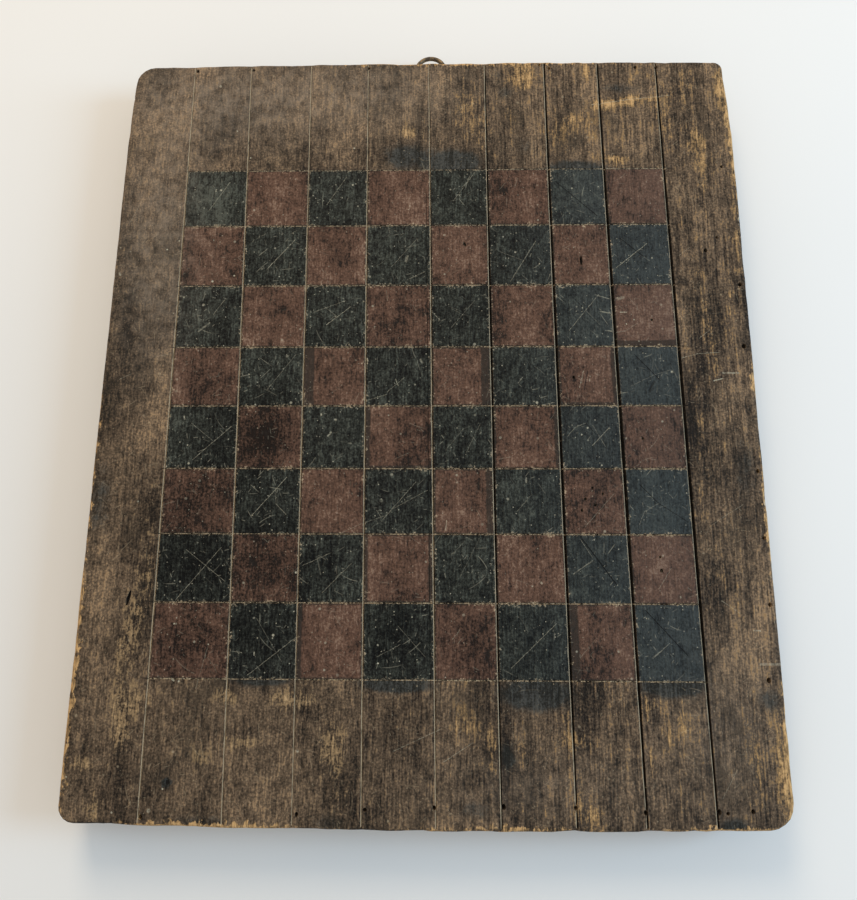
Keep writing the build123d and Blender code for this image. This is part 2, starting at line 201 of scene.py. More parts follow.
# Round marks: x, y, width and strength.
DOTS = (
    (-125.3, 57.8, 1.5, 0.5), (-107.4, 56.3, 1.5, 0.2), (-47.8, 48.8, 0.7, 0.6), (-38.6, 58.8, 0.9, 0.4),
    (-97.1, 16.6, 0.8, 0.8), (-92.6, -0.8, 0.9, 0.8), (-97.0, -1.4, 0.6, 0.6), (-128.0, -23.5, 0.8, 0.85),
    (-48.6, -9.4, 1.3, 0.8), (-121.1, 72.1, 1.1, 0.95), (-109.0, 75.6, 1.0, 0.9), (-122.1, 97.8, 0.7, 0.6),
    (-117.4, 100.6, 0.6, 0.5), (-169.6, 90.9, 0.8, 0.8), (-148.6, 92.1, 1.0, 0.85),
    (-142.0, 97.5, 0.8, 0.8), (-175.5, 93.4, 0.9, 0.4), (-141.8, 52.8, 0.7, 0.7), (-177.1, 59.8, 0.7, 0.6),
    (-139.9, 13.8, 0.6, 0.6), (-2.4, 102.3, 0.9, 0.35), (-32.1, 74.6, 1.1, 0.85), (51.0, 96.3, 0.7, 0.5),
    (51.4, 70.6, 1.3, 0.7), (-5.9, 10.4, 0.9, 0.85), (-28.6, 44.4, 0.8, 0.7), (-11.1, 66.9, 0.7, 0.5),
    (22.6, 29.4, 0.7, 0.8), (10.8, 25.6, 0.6, 0.5), (-50.9, 6.0, 0.7, 0.5), (-38.6, 24.6, 0.8, 0.4),
    (-19.9, -6.9, 0.9, 0.45), (112.6, 73.4, 1.0, 0.5), (112.9, 79.1, 0.7, 0.4), (107.6, 97.5, 0.7, 0.3),
    (110.4, 45.6, 0.7, 0.8), (114.8, 48.1, 0.8, 0.8), (127.4, 58.1, 0.6, 0.6), (133.6, 17.5, 1.4, 0.7),
    (106.8, 20.0, 0.8, 0.4), (114.1, -11.0, 0.6, 0.5), (125.8, -14.8, 0.6, 0.5), (-126.3, -96.5, 0.9, 0.95),
    (-66.4, -91.6, 1.0, 0.9), (-86.8, -114.8, 1.0, 0.5), (-127.6, -117.9, 0.9, 0.8),
    (-109.3, -128.1, 0.7, 0.6), (-123.0, -146.3, 1.1, 0.95), (-152.1, -54.4, 1.0, 0.5),
    (-61.8, -179.0, 1.5, 0.5), (-17.8, -39.8, 1.6, 0.4), (-23.0, -53.8, 1.8, 0.22), (67.9, -61.3, 0.7, 0.5),
    (-23.0, -136.9, 0.9, 0.9), (-3.5, -135.0, 0.6, 0.6), (10.8, -143.5, 0.7, 0.7), (97.6, -130.6, 1.0, 0.7),
    (0.8, -85.9, 1.0, 0.95), (55.3, -98.3, 0.8, 0.5), (122.6, -82.5, 1.0, 0.7), (-125.0, 200.0, 1.4, 0.8),
    (-113.0, 169.0, 0.9, 0.8), (-123.0, 130.0, 0.9, 0.8), (-43.0, 157.0, 0.9, 0.8),
    (-104.0, 151.0, 0.9, 0.7), (-127.0, -197.0, 0.9, 0.7), (-151.0, -208.0, 0.9, 0.7),
    (-133.0, -207.0, 1.8, 0.4), (-175.0, -192.0, 0.9, 0.7),
)
# Soft patches on the face: x, y, reach in x, reach in y, amount.
BARE_PATCHES = (
    (57.5, 206.5, 13.6, 11.2, 0.8), (24.4, 175.2, 9.6, 23.5, 0.6), (87.3, 173.2, 19.8, 12.5, 0.6),
    (101.9, 184.6, 10.4, 3.5, 1.0), (115.0, 186.5, 11.9, 3.1, 1.0), (128.6, 189.1, 12.0, 2.6, 0.9),
    (108.4, 148.4, 9.4, 2.7, 1.0), (-9.9, 167.4, 8.1, 4.4, 1.0), (94.6, 208.8, 4.0, 8.2, 0.9),
    (157.2, 160.5, 6.3, 8.0, 0.6), (174.3, 194.1, 5.5, 21.1, 0.8), (177.5, 153.7, 4.7, 35.9, 0.6),
    (-98.2, -152.7, 6.9, 4.7, 1.0), (-109.2, -182.1, 5.5, 4.6, 1.0), (-150.2, -172.6, 4.9, 10.9, 0.8),
    (-45.3, -177.4, 6.2, 17.0, 0.8), (-67.5, -154.4, 12.3, 6.1, 0.7), (-167.2, -186.3, 6.7, 3.9, 0.8),
    (-90.3, -175.0, 11.5, 3.2, 0.9), (-160.8, -205.1, 5.4, 9.8, 0.6), (-146.7, -156.9, 12.4, 9.8, 0.6),
    (20.5, -165.2, 7.5, 9.7, 0.7), (33.7, -174.9, 3.5, 11.5, 0.7), (48.8, -178.5, 4.7, 8.2, 0.6),
    (74.7, -173.2, 10.1, 5.8, 0.7), (111.2, -156.1, 5.4, 7.1, 0.6), (128.8, -164.4, 7.3, 15.8, 0.5),
    (119.7, -169.6, 2.7, 9.6, 0.7), (162.0, -184.4, 3.4, 24.0, 0.6), (174.8, -184.8, 6.1, 37.1, 0.8),
    (75.1, -201.5, 2.8, 17.7, 0.6), (83.0, -209.0, 7.1, 8.0, 0.5), (111.5, -185.3, 2.7, 8.2, 0.6),
    (48.6, 178.4, 5.7, 8.2, 0.5), (77.6, 161.3, 7.0, 11.6, 0.4), (136.8, 177.5, 7.8, 20.8, 0.45),
    (155.5, 194.3, 10.3, 17.4, 0.4), (126.6, 205.0, 10.4, 8.2, 0.5), (157.8, 144.1, 8.5, 18.4, 0.4),
    (177.2, 102.4, 6.9, 42.4, 0.3), (159.0, 47.7, 9.7, 47.9, 0.2), (-147.9, -116.2, 6.3, 34.1, 0.5),
    (-155.2, -131.2, 4.9, 27.1, 0.4), (-142.9, -85.5, 5.1, 35.4, 0.3),
)
DUST_PATCHES = (
    (-120.0, 190.0, 70.0, 30.0, 0.75), (-155.0, 120.0, 26.0, 60.0, 0.65), (-150.0, 60.0, 24.0, 50.0, 0.45),
    (-30.0, 195.0, 60.0, 24.0, 0.45), (150.0, -170.0, 30.0, 40.0, 0.35), (60.0, -195.0, 60.0, 18.0, 0.25),
)
SMEAR_PATCHES = (
    (55.8, -151.2, 16.8, 7.6, 1.0), (123.1, -146.9, 15.7, 5.3, 1.0), (-13.8, -146.9, 18.0, 3.8, 1.0),
    (-83.0, -146.4, 17.1, 1.9, 1.0), (16.1, 146.5, 16.3, 9.1, 0.75), (-13.2, 151.4, 15.2, 10.5, 0.5),
    (86.2, 142.7, 16.2, 4.6, 0.9), (41.4, -180.9, 4.4, 8.2, 0.55), (148.7, -211.5, 7.6, 3.5, 0.6),
    (-125.5, -194.3, 2.5, 2.3, 1.0), (-44.6, -211.2, 10.6, 4.4, 0.3), (58.2, 158.1, 10.5, 10.6, 0.22),
    (-107.5, -211.8, 19.4, 3.6, 0.3), (43.1, 205.9, 5.4, 4.8, 0.25), (45.9, 194.1, 6.0, 4.8, 0.32),
    (114.2, 196.1, 17.8, 4.1, 0.3), (25.2, -205.1, 9.6, 4.5, 0.35), (168.2, -37.1, 7.3, 21.3, 0.3),
    (170.6, -153.3, 6.8, 6.6, 0.4), (-172.4, -53.8, 7.5, 26.5, 0.3),
)
# Lighter and darker patches of the wood and the paint.
TONE_PATCHES = (
    (-130.0, 180.0, 60.0, 45.0, 0.16), (-30.0, 195.0, 60.0, 30.0, 0.14), (90.0, 185.0, 60.0, 35.0, 0.12),
    (165.0, 180.0, 20.0, 45.0, 0.14), (-165.0, 95.0, 20.0, 40.0, 0.06), (-165.0, 10.0, 18.0, 40.0, -0.1),
    (160.0, -10.0, 20.0, 50.0, -0.06), (160.0, -190.0, 22.0, 24.0, 0.16),
    (-168.0, -190.0, 10.0, 20.0, -0.1), (-85.0, -19.0, 18.0, 17.0, -0.5),
    (-120.0, -54.0, 18.0, 17.0, -0.26), (18.0, -126.0, 15.0, 18.0, -0.26),
    (-82.0, -90.0, 17.0, 17.0, -0.18), (-118.0, -126.0, 20.0, 19.0, -0.3),
    (-122.0, 15.0, 18.0, 17.0, -0.14), (-118.0, -90.0, 19.0, 17.0, -0.44),
    (-80.0, -126.0, 17.0, 19.0, -0.38), (-14.0, -126.0, 17.0, 19.0, -0.38),
    (-48.0, -90.0, 17.0, 17.0, -0.16), (-83.0, -55.0, 17.0, 17.0, -0.08), (55.0, -126.0, 17.0, 18.0, -0.12),
    (-90.0, 125.0, 17.0, 18.0, 0.16), (-122.0, 88.0, 18.0, 18.0, 0.14), (-124.0, 124.0, 17.0, 18.0, 0.32),
    (118.0, 124.0, 17.0, 18.0, 0.14), (88.0, 124.0, 17.0, 18.0, 0.16), (120.0, 50.0, 17.0, 18.0, 0.05),
    (53.0, -20.0, 17.0, 17.0, 0.08), (-48.0, 125.0, 17.0, 18.0, 0.06), (-105.0, -60.0, 60.0, 60.0, -0.05),
)
# Where the rubbed edge of the plank shows bare wood; the tan along the lower left side is also painted light,
# warm light bounced onto that side.
RIM_PATCHES = (
    (-178.0, -150.0, 14.0, 60.0, 0.9), (178.0, 171.0, 14.0, 42.0, 1.0), (178.0, -182.0, 14.0, 34.0, 0.9),
    (-105.0, -215.0, 40.0, 14.0, 1.0), (178.0, -60.0, 14.0, 40.0, 0.5), (60.0, 215.0, 60.0, 14.0, 0.7),
    (150.0, -215.0, 30.0, 14.0, 0.6), (-20.0, 215.0, 40.0, 14.0, 0.5), (178.0, 15.0, 14.0, 12.0, 0.8),
    (-178.0, -30.0, 14.0, 60.0, 0.35), (40.0, -215.0, 60.0, 14.0, 0.4),
)
# Knots in the back of the plank and in the cleats, in mm: x, y and half width. The cleats' grain
# runs along x, so their knots are given with x and y turned with it.
BACK_KNOTS = ((-96.0, 62.0, 6.5), (58.0, -74.0, 8.5), (121.0, 118.0, 4.0))
CLEAT_KNOTS = ((-150.0, 60.0, 3.0), (160.0, -92.0, 3.5))
SQUARE_WIDE = 34.0
SQUARE_HIGH = 35.0
# Red squares that stop short of their lines: column, row, and the gap at left, right, foot and top.
SHORT_REDS = {
    (2, 3): (5.5, 0.3, 0.3, 0.3), (4, 3): (0.5, 5.5, 0.3, 1.0), (3, 4): (2.2, 0.4, 1.2, 0.5),
    (3, 6): (1.6, 2.2, 0.6, 0.6), (2, 7): (2.2, 0.6, 0.5, 0.5), (6, 7): (4.5, 0.6, 0.5, 0.5),
    (4, 5): (1.0, 4.0, 0.5, 0.5), (5, 4): (0.8, 2.0, 0.4, 0.6), (6, 3): (1.0, 2.4, 1.6, 0.5),
    (7, 2): (0.4, 0.6, 3.0, 0.3),
}


def length_setting(name, description, default):
    return FloatProperty(name=name, description=description, default=default, unit="LENGTH")


def colour_setting(name, description, default):
    return FloatVectorProperty(name=name, description=description, default=default, subtype="COLOR")


class BoardSizes(bpy.types.PropertyGroup):
    """Sizes that a user may change"""

    end_bow: FloatVectorProperty(
        name="End Bow",
        description="How far the middle of the top end and of the foot end stands out",
        default=(0.0016, 0.0025),
        size=2,
        unit="LENGTH",
    )
    draw_in: FloatVectorProperty(
        name="Draw In",
        description="How far the left and the right side draw in at the top",
        default=(0.0018, 0.0026),
        size=2,
        unit="LENGTH",
    )
    corner_rounds: FloatVectorProperty(
        name="Corner Rounds",
        description="Radius of the worn corners: top left, top right, foot left, foot right",
        default=(0.011, 0.005, 0.008, 0.012),
        size=4,
        unit="LENGTH",
    )
    arris: length_setting("Worn Arris", "How far the edges of the plank are rubbed round", 0.0014)
    groove_steepness: FloatProperty(
        name="Groove Steepness",
        description="Depth of a long scribed line as a part of its width",
        default=0.85,
        subtype="FACTOR",
    )
    cross_width: length_setting("Cross Line Width", "Width of the lines scribed across the grain", 0.0009)
    paint_thickness: length_setting("Paint Thickness", "Thickness of the coats of paint", 0.0001)
    edge_wear: length_setting("Edge Wear", "How far the ends and sides are eaten in unevenly", 0.0007)
    face_cuts: IntProperty(
        name="Face Cuts",
        description="Cuts across each painted square of the plank's mesh",
        default=5,
        min=2,
    )
    unevenness: length_setting("Unevenness", "Height of the slow waves in the face", 0.00012)
    wire: length_setting("Ring Wire", "Thickness of the ring's wire", 0.0026)
    lamp_level: FloatProperty(
        name="Lamp Level",
        description="Multiplies the strength of both lamps",
        default=1.0,
        subtype="FACTOR",
    )


class BoardColours(bpy.types.PropertyGroup):
    """Colours that a user may change"""

    finish: colour_setting("Old Finish", "Brown finish left on the margins", (0.098, 0.067, 0.042))
    bare_wood: colour_setting("Bare Wood", "Wood where the finish has gone", (0.42, 0.26, 0.115))
    # The lip colour is torn wood; on the flank of a long line that faces the window it is also a painted
    # highlight.
    lip: colour_setting(
        "Groove Lip", "Torn wood on the lips of the scribed lines and the edges of the paint",
        (0.56, 0.44, 0.29))
    dust: colour_setting("Dust", "Grey dust worked into the finish", (0.26, 0.215, 0.170))
    black: colour_setting("Black Paint", "Paint of the black squares", (0.0170, 0.0185, 0.0150))
    # Painted sheen: the window's light on the black paint toward the right, painted in as a bluish, lighter
    # black.
    black_sheen: colour_setting(
        "Cool Black", "Bluish bloom on the black paint toward the right", (0.043, 0.053, 0.056))
    red: colour_setting("Red Paint", "Paint of the brown-red squares", (0.095, 0.0515, 0.0345))
    fleck: colour_setting("Flecks", "Pale specks and the chalky floor of scratches", (0.62, 0.58, 0.44))
    back_wood: colour_setting(
        "Back Wood", "Unpainted wood of the back and the cleats", (0.24, 0.150, 0.085))
    iron: colour_setting("Iron", "Dark iron of the strap and the nails", (0.075, 0.062, 0.052))
    brass: colour_setting("Ring Brass", "Rubbed brass of the ring", (0.22, 0.155, 0.085))


def line_x(i, y):
    """Where long line i crosses the height y, both in metres from the middle of the plank."""
    t = (y + HALF_L) / (2 * HALF_L)
    return (LINES_FOOT[i] + (LINES_TOP[i] - LINES_FOOT[i]) * t) * MM


def show_only(obj):
    """Goes to object mode with only this object selected, or nothing."""
    if bpy.context.object and bpy.context.object.mode != "OBJECT":
        bpy.ops.object.mode_set(mode="OBJECT")
    bpy.ops.object.select_all(action="DESELECT")
    if obj:
        obj.select_set(True)
        bpy.context.view_layer.objects.active = obj


def pick(obj, kind, test):
    """Goes to edit mode with only the vertices, edges or faces that pass the test selected."""
    show_only(obj)
    mesh = obj.data
    for part in (mesh.vertices, mesh.edges, mesh.polygons):
        part.foreach_set("select", [False] * len(part))
    bpy.context.tool_settings.mesh_select_mode = (kind == "VERT", kind == "EDGE", kind == "FACE")
    if kind == "VERT":
        mesh.vertices.foreach_set("select", [bool(test(v.co)) for v in mesh.vertices])
    elif kind == "EDGE":
        spots = [v.co for v in mesh.vertices]
        flags = [bool(test(spots[e.vertices[0]], spots[e.vertices[1]])) for e in mesh.edges]
        mesh.edges.foreach_set("select", flags)
    else:
        mesh.polygons.foreach_set("select", [bool(test(f.center, f.normal)) for f in mesh.polygons])
    bpy.ops.object.mode_set(mode="EDIT")


def add_block(name, low, high):
    """A block between two corners, with its place in its mesh."""
    show_only(None)
    middle = (Vector(low) + Vector(high)) / 2
    bpy.ops.mesh.primitive_cube_add(size=1, location=middle, scale=Vector(high) - Vector(low))
    obj = bpy.context.object
    obj.name = name
    bpy.ops.object.transform_apply(location=True, rotation=True, scale=True)
    return obj


def slice_through(point, normal):
    """Cuts all of the mesh that is being edited with one plane."""
    bpy.ops.mesh.select_all(action="SELECT")
    bpy.ops.mesh.bisect(plane_co=point, plane_no=normal)


def push(obj, way, amounts):
    """Moves every vertex along X, Y or Z by its own amount in metres."""
    for sign in (1, -1):
        most = max(0.0, max(sign * a for a in amounts))
        if most < 1e-7:
            continue
        group = obj.vertex_groups.new(name="push")
        for index, amount in enumerate(amounts):
            if sign * amount > 1e-8:
                group.add([index], sign * amount / most, "REPLACE")
        show_only(obj)
        move = obj.modifiers.new("push", "DISPLACE")
        move.direction = way
        move.vertex_group = group.name
        move.mid_level = 0.0
        move.strength = sign * most
        bpy.ops.object.modifier_apply(modifier=move.name)
        obj.vertex_groups.remove(obj.vertex_groups["push"])


def cut_away(obj, cutter):
    """Takes the cutter's shape out of the piece."""
    show_only(obj)
    cut = obj.modifiers.new("cut", "BOOLEAN")
    cut.operation = "DIFFERENCE"
    cut.solver = "EXACT"
    cut.object = cutter
    bpy.ops.object.modifier_apply(modifier=cut.name)


def drop(obj):
    mesh = obj.data
    bpy.data.objects.remove(obj)
    bpy.data.meshes.remove(mesh)


def join(parts, name):
    show_only(parts[0])
    for part in parts:
        part.select_set(True)
    bpy.ops.object.join()
    parts[0].name = name
    return parts[0]


def smooth(obj, angle=35):
    show_only(obj)
    bpy.ops.object.shade_smooth_by_angle(angle=math.radians(angle))


def settle(obj, node_names, body, material):
    """Gives a finished piece its body, the nodes it stands for and its material."""
    obj.data.name = obj.name
    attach(obj, body)
    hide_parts(*node_names)
    obj.data.materials.clear()
    obj.data.materials.append(material)


def from_line(i, co):
    """Distance of a point from long line i, in metres, more than 0 to its right."""
    slope = (LINES_TOP[i] - LINES_FOOT[i]) * MM / (2 * HALF_L)
    return (co.x - line_x(i, co.y - MID_Y)) / math.sqrt(1 + slope * slope)


def swell(i, y):
    """How wide line i is at the height y, as a part of its greatest width."""
    t = abs(y) / HALF_L
    wave = 0.10 * noise.noise(Vector((i * 7.3, y / MM / 28.0, 0.5)))
    wave += 0.07 * noise.noise(Vector((i * 3.1, y / MM / 9.0, 4.5)))
    return 1.0 - 0.38 * t * t + wave


def cross_part(j, x):
    """How deep cross line j is at the place x, as a part of its depth: it fades past the grid."""
    fade = 1.0 - max(0.0, abs(x) - 0.1385) / 0.006
    wave = 0.25 * noise.noise(Vector((x / MM / 7.0, j * 5.7, 1.5)))
    return max(0.0, (0.9 + wave) * max(0.0, fade))


def along_cut(top, foot, shift):
    """A cutting plane that runs up the plank from x at the foot to x at the top."""
    normal = Vector((2 * HALF_L, foot - top, 0)).normalized()
    return Vector((foot, MID_Y - HALF_L, 0)) + normal * shift, normal


def plank_cuts(sizes):
    """The planes that cut the plank's faces: (point, normal) pairs."""
    cuts = []
    steps = sizes.face_cuts
    tops = [-HALF_W / MM] + list(LINES_TOP) + [HALF_W / MM]
    feet = [-HALF_W / MM] + list(LINES_FOOT) + [HALF_W / MM]
    for i in range(len(tops) - 1):
        for k in range(1, steps + 1):
            t = k / (steps + 1)
            top = tops[i] + (tops[i + 1] - tops[i]) * t
            foot = feet[i] + (feet[i + 1] - feet[i]) * t
            cuts.append(along_cut(top * MM, foot * MM, 0))
    for i, wide in enumerate(LONG_WIDE):
        for side in (-1, 0, 1):
            cuts.append(along_cut(LINES_TOP[i] * MM, LINES_FOOT[i] * MM, side * wide * MM / 2))
    for side in (-1, 0, 1):
        cuts.append(along_cut(LINES_TOP[4] * MM, LINES_FOOT[4] * MM, (side * SECOND_HALF - SECOND_RUN) * MM))
    heights = [HALF_L / MM] + list(LINES_ACROSS) + [-HALF_L / MM]
    for i in range(len(heights) - 1):
        count = steps + 1 if 0 < i < len(heights) - 2 else 2 * steps + 1
        for k in range(1, count):
            y = heights[i] + (heights[i + 1] - heights[i]) * k / count
            cuts.append((Vector((0, MID_Y + y * MM, 0)), Vector((0, 1, 0))))
    for y in LINES_ACROSS:
        for side in (-1, 0, 1):
            at = MID_Y + y * MM + side * sizes.cross_width / 2
            cuts.append((Vector((0, at, 0)), Vector((0, 1, 0))))
    return cuts


def long_depth(co, sizes):
    """Depth of the long scribed lines at a vertex of the face, in metres."""
    if co.z < FACE_Z - ON_FACE:
        return 0.0
    y = co.y - MID_Y
    for i, wide in enumerate(LONG_WIDE):
        part = 1.0 - abs(from_line(i, co)) / (wide * MM / 2)
        if part > 0.0:
            return wide * MM * sizes.groove_steepness * swell(i, y) * part
    part = 1.0 - abs(from_line(4, co) + SECOND_RUN * MM) / (SECOND_HALF * MM)
    return SECOND_DEPTH * MM * part if part > 0.0 and -0.152 < y < 0.125 else 0.0


def cross_depth(co, sizes):
    """Depth of the cross lines at a vertex of the face, in metres."""
    if co.z < FACE_Z - ON_FACE:
        return 0.0
    for j, line in enumerate(LINES_ACROSS):
        part = 1.0 - abs(co.y - MID_Y - line * MM) / (sizes.cross_width / 2)
        if part > 0.0:
            return sizes.cross_width * 0.65 * cross_part(j, co.x) * part
    return 0.0


def lip_shift(co):
    """How far a vertex of a long line moves sideways as the line swells and narrows."""
    if co.z < FACE_Z - ON_FACE:
        return 0.0
    for i, wide in enumerate(LONG_WIDE):
        off = from_line(i, co)
        if abs(off) < wide * MM / 2 + ON_FACE:
            lean = 0.14 * wide * MM - 0.28 * abs(off)
            return (swell(i, co.y - MID_Y) - 1.0) * off + lean
    return 0.0


def lip_reach(co):
    """How deep in mm the light lip of a long line reaches, torn wood that is painted light on the flank
    facing the window: wide lines are painted dark as shade below a narrow lip.
    """
    for i, wide in enumerate(LONG_WIDE):
        if abs(from_line(i, co)) < wide * MM / 2 + ON_FACE:
            return 0.85 if wide < 1.3 else 0.50
    return 0.0


def ragged(along, seed, most):
    """How far a worn end or side is eaten in at a place along it, in metres."""
    wave = noise.noise(Vector((along / 0.016, seed, 0.5)))
    wave += 0.8 * noise.noise(Vector((along / 0.006, seed, 7.5)))
    return most * max(0.0, 0.35 + wave)


def end_shift(co, sizes):
    """How far the bowed ends carry a vertex outward."""
    y = co.y - MID_Y
    curve = 1 - (co.x / HALF_W) ** 2
    top, foot = LINES_ACROSS[0] * MM, LINES_ACROSS[8] * MM
    if y > top:
        part = (y - top) / (HALF_L - top)
        return (sizes.end_bow[0] * curve - ragged(co.x, 1.0, sizes.edge_wear)) * part ** 4
    if y < foot:
        part = (y - foot) / (-HALF_L - foot)
        return (ragged(co.x, 5.0, sizes.edge_wear) - sizes.end_bow[1] * curve) * part ** 4
    return 0.0


def side_shift(co, sizes):
    """How far the sides draw in over the last 50 mm at the top."""
    y = co.y - MID_Y
    rise = max(0.0, (y - HALF_L + 0.05) / 0.05)
    left, right = line_x(0, y), line_x(8, y)
    if co.x < left:
        part = (co.x - left) / (-HALF_W - left)
        return sizes.draw_in[0] * rise * part + ragged(y, 9.0, sizes.edge_wear * 0.4) * part ** 4
    if co.x > right:
        part = (co.x - right) / (HALF_W - right)
        return -sizes.draw_in[1] * rise * part - ragged(y, 13.0, sizes.edge_wear * 0.4) * part ** 4
    return 0.0


def wear_shift(co, sizes):
    """The slow waves in the face, always down into the plank."""
    if co.z < FACE_Z - 0.0025:
        return 0.0
    wave = noise.noise(Vector((co.x * 17, co.y * 8, 0.3))) + 0.5 * noise.noise(
        Vector((co.x * 55, co.y * 21, 2.3)))
    return -sizes.unevenness * (1.4 + wave)


def square_ends(row):
    """The top and the foot of the squares of a row, in metres."""
    return LINES_ACROSS[row] * MM - PAINT_EDGE, LINES_ACROSS[row + 1] * MM + PAINT_EDGE


def square_sides(col, y):
    """The left and the right side of the squares of a column at the height y, in metres."""
    return line_x(col, y) + LONG_WIDE[col] * MM * 0.5, line_x(col + 1, y) - LONG_WIDE[col + 1] * MM * 0.5


def square_at(x, y):
    """Column, row, and u and v in the square at a point of the face, or None outside the squares."""
    y = y - MID_Y
    for row in range(8):
        top, foot = square_ends(row)
        if not foot - 1e-6 <= y <= top + 1e-6:
            continue
        for col in range(8):
            left, right = square_sides(col, y)
            if left - 2e-4 <= x <= right + 2e-4:
                return col, row, (x - left) / (right - left), (y - foot) / (top - foot)
    return None


def on_margin(centre, normal):
    """Whether a face of the plank's top lies outside the squares."""
    y = centre.y - MID_Y
    if normal.z < 0.5:
        return False
    if not LINES_ACROSS[8] * MM - 0.0006 < y < LINES_ACROSS[0] * MM + 0.0006:
        return True
    return centre.x < line_x(0, y) - 0.0006 or centre.x > line_x(8, y) + 0.0012


def edge_distance(co):
    """Distance in mm from the plank's outline to a point inside it."""
    y = co.y - MID_Y
    return max(0.0, min(HALF_W - abs(co.x), HALF_L - abs(y))) / MM


def is_black(col, row):
    return (col + row) % 2 == 0


def patch_amount(patches, x, y):
    """Sum of the soft patches at a point, x and y in mm from the middle of the plank."""
    total = 0.0
    for px, py, rx, ry, amount in patches:
        d = ((x - px) / rx) ** 2 + ((y - py) / ry) ** 2
        if d < 9:
            total += amount * math.exp(-d * 1.2)
    return min(1.0, total)


def mark_faces(obj):
    """Gives each face the nearest marks, as pairs of vectors for the materials."""
    mesh = obj.data
    marks = SCRATCHES + tuple((x, y, x, y, wide, strength) for x, y, wide, strength in DOTS)
    starts = [NO_MARK * len(mesh.polygons) for _ in range(MARK_SLOTS)]
    ends = [NO_MARK * len(mesh.polygons) for _ in range(MARK_SLOTS)]
    for face in mesh.polygons:
        if face.center.z < FACE_Z - 0.003:
            continue
        reach = max((mesh.vertices[v].co - face.center).length for v in face.vertices)
        near = []
        for x0, y0, x1, y1, wide, strength in marks:
            a = Vector((x0 * MM, MID_Y + y0 * MM, 0))
            b = Vector((x1 * MM, MID_Y + y1 * MM, 0))
            p = Vector((face.center.x, face.center.y, 0))
            run = b - a
            t = max(0.0, min(1.0, (p - a).dot(run) / max(run.dot(run), 1e-12)))
            d = (p - a - run * t).length - wide * MM
            if d < reach + 0.0008:
                near.append((d, a, b, wide, strength))
        near.sort(key=lambda item: item[0])
        for slot, (d, a, b, wide, strength) in enumerate(near[:MARK_SLOTS]):
            at = 3 * face.index
            long = (b - a).length > 0.004
            starts[slot][at:at + 3] = [a.x, a.y, wide * MM * (0.6 if long else 1.0)]
            ends[slot][at:at + 3] = [b.x, b.y, strength * (0.75 if long and strength > 0 else 1.0)]
    for slot in range(MARK_SLOTS):
        for name, values in (("start", starts[slot]), ("end", ends[slot])):
            kept = mesh.attributes.new(f"mark_{name}_{slot}", "FLOAT_VECTOR", "FACE")
            kept.data.foreach_set("vector", values)


def spot(obj, name, values):
    """Stores one number for each vertex, for the materials to read."""
    obj.data.attributes.new(name, "FLOAT", "POINT").data.foreach_set("value", values)


def make_awls():
    """One cutter for all awl holes: nine-sided spikes, point down."""
    parts = []
    for k, (x, y, radius) in enumerate(AWL_HOLES):
        show_only(None)
        at = (x * MM, MID_Y + y * MM, FACE_Z - 0.0010)
        bpy.ops.mesh.primitive_cone_add(
            vertices=9, radius1=radius * MM * 0.25, radius2=radius * MM * 1.08, depth=0.0034,
            location=at, rotation=(0, 0, 0.5 * k))
        spike = bpy.context.object
        bpy.ops.object.transform_apply(location=True, rotation=True, scale=True)
        pick(spike, "FACE", lambda c, n: n.z > 0.9)
        bpy.ops.transform.resize(value=(1.0, 1.2 + 0.25 * math.sin(k * 2.1), 1.0))
        parts.append(spike)
    return join(parts, "awls")


def make_gouges():
    """One cutter for the gouges: long ragged wedges."""
    parts = []
    for x, y, wide, long, turn, deep in GOUGES:
        show_only(None)
        at = Vector((x * MM, MID_Y + y * MM, FACE_Z))
        bpy.ops.mesh.primitive_ico_sphere_add(subdivisions=2, radius=1.0, location=at)
        blade = bpy.context.object
        blade.scale = (wide * MM, long * MM, deep * MM)
        blade.rotation_euler = (0, 0, math.radians(turn))
        bpy.ops.object.transform_apply(location=True, rotation=True, scale=True)
        rag = [0.18 * wide * MM * noise.noise(v.co * 1500) for v in blade.data.vertices]
        push(blade, "X", rag)
        push(blade, "Y", rag)
        parts.append(blade)
    return join(parts, "gouges")


def make_chips():
    """One cutter for the chips out of the edges."""
    parts = []
    for k, (x, y, along, inward, down) in enumerate(EDGE_CHIPS):
        show_only(None)
        at = Vector((x * MM, MID_Y + y * MM, FACE_Z + 0.0002))
        bpy.ops.mesh.primitive_ico_sphere_add(subdivisions=3, radius=1.0, location=at)
        bite = bpy.context.object
        on_side = abs(x) > 170
        reach = ((1.4 + inward) * MM, along * MM) if on_side else (along * MM, (1.4 + inward) * MM)
        bite.scale = (reach[0], reach[1], down * MM + 0.0006)
        bpy.ops.object.transform_apply(location=True, rotation=True, scale=True)
        for way, far in (("X", 3.1), ("Y", 5.7), ("Z", 9.4)):
            push(bite, way, [0.0005 * noise.noise(v.co * 600 + Vector((far, k, 0)))
                             for v in bite.data.vertices])
        parts.append(bite)
    return join(parts, "chips")


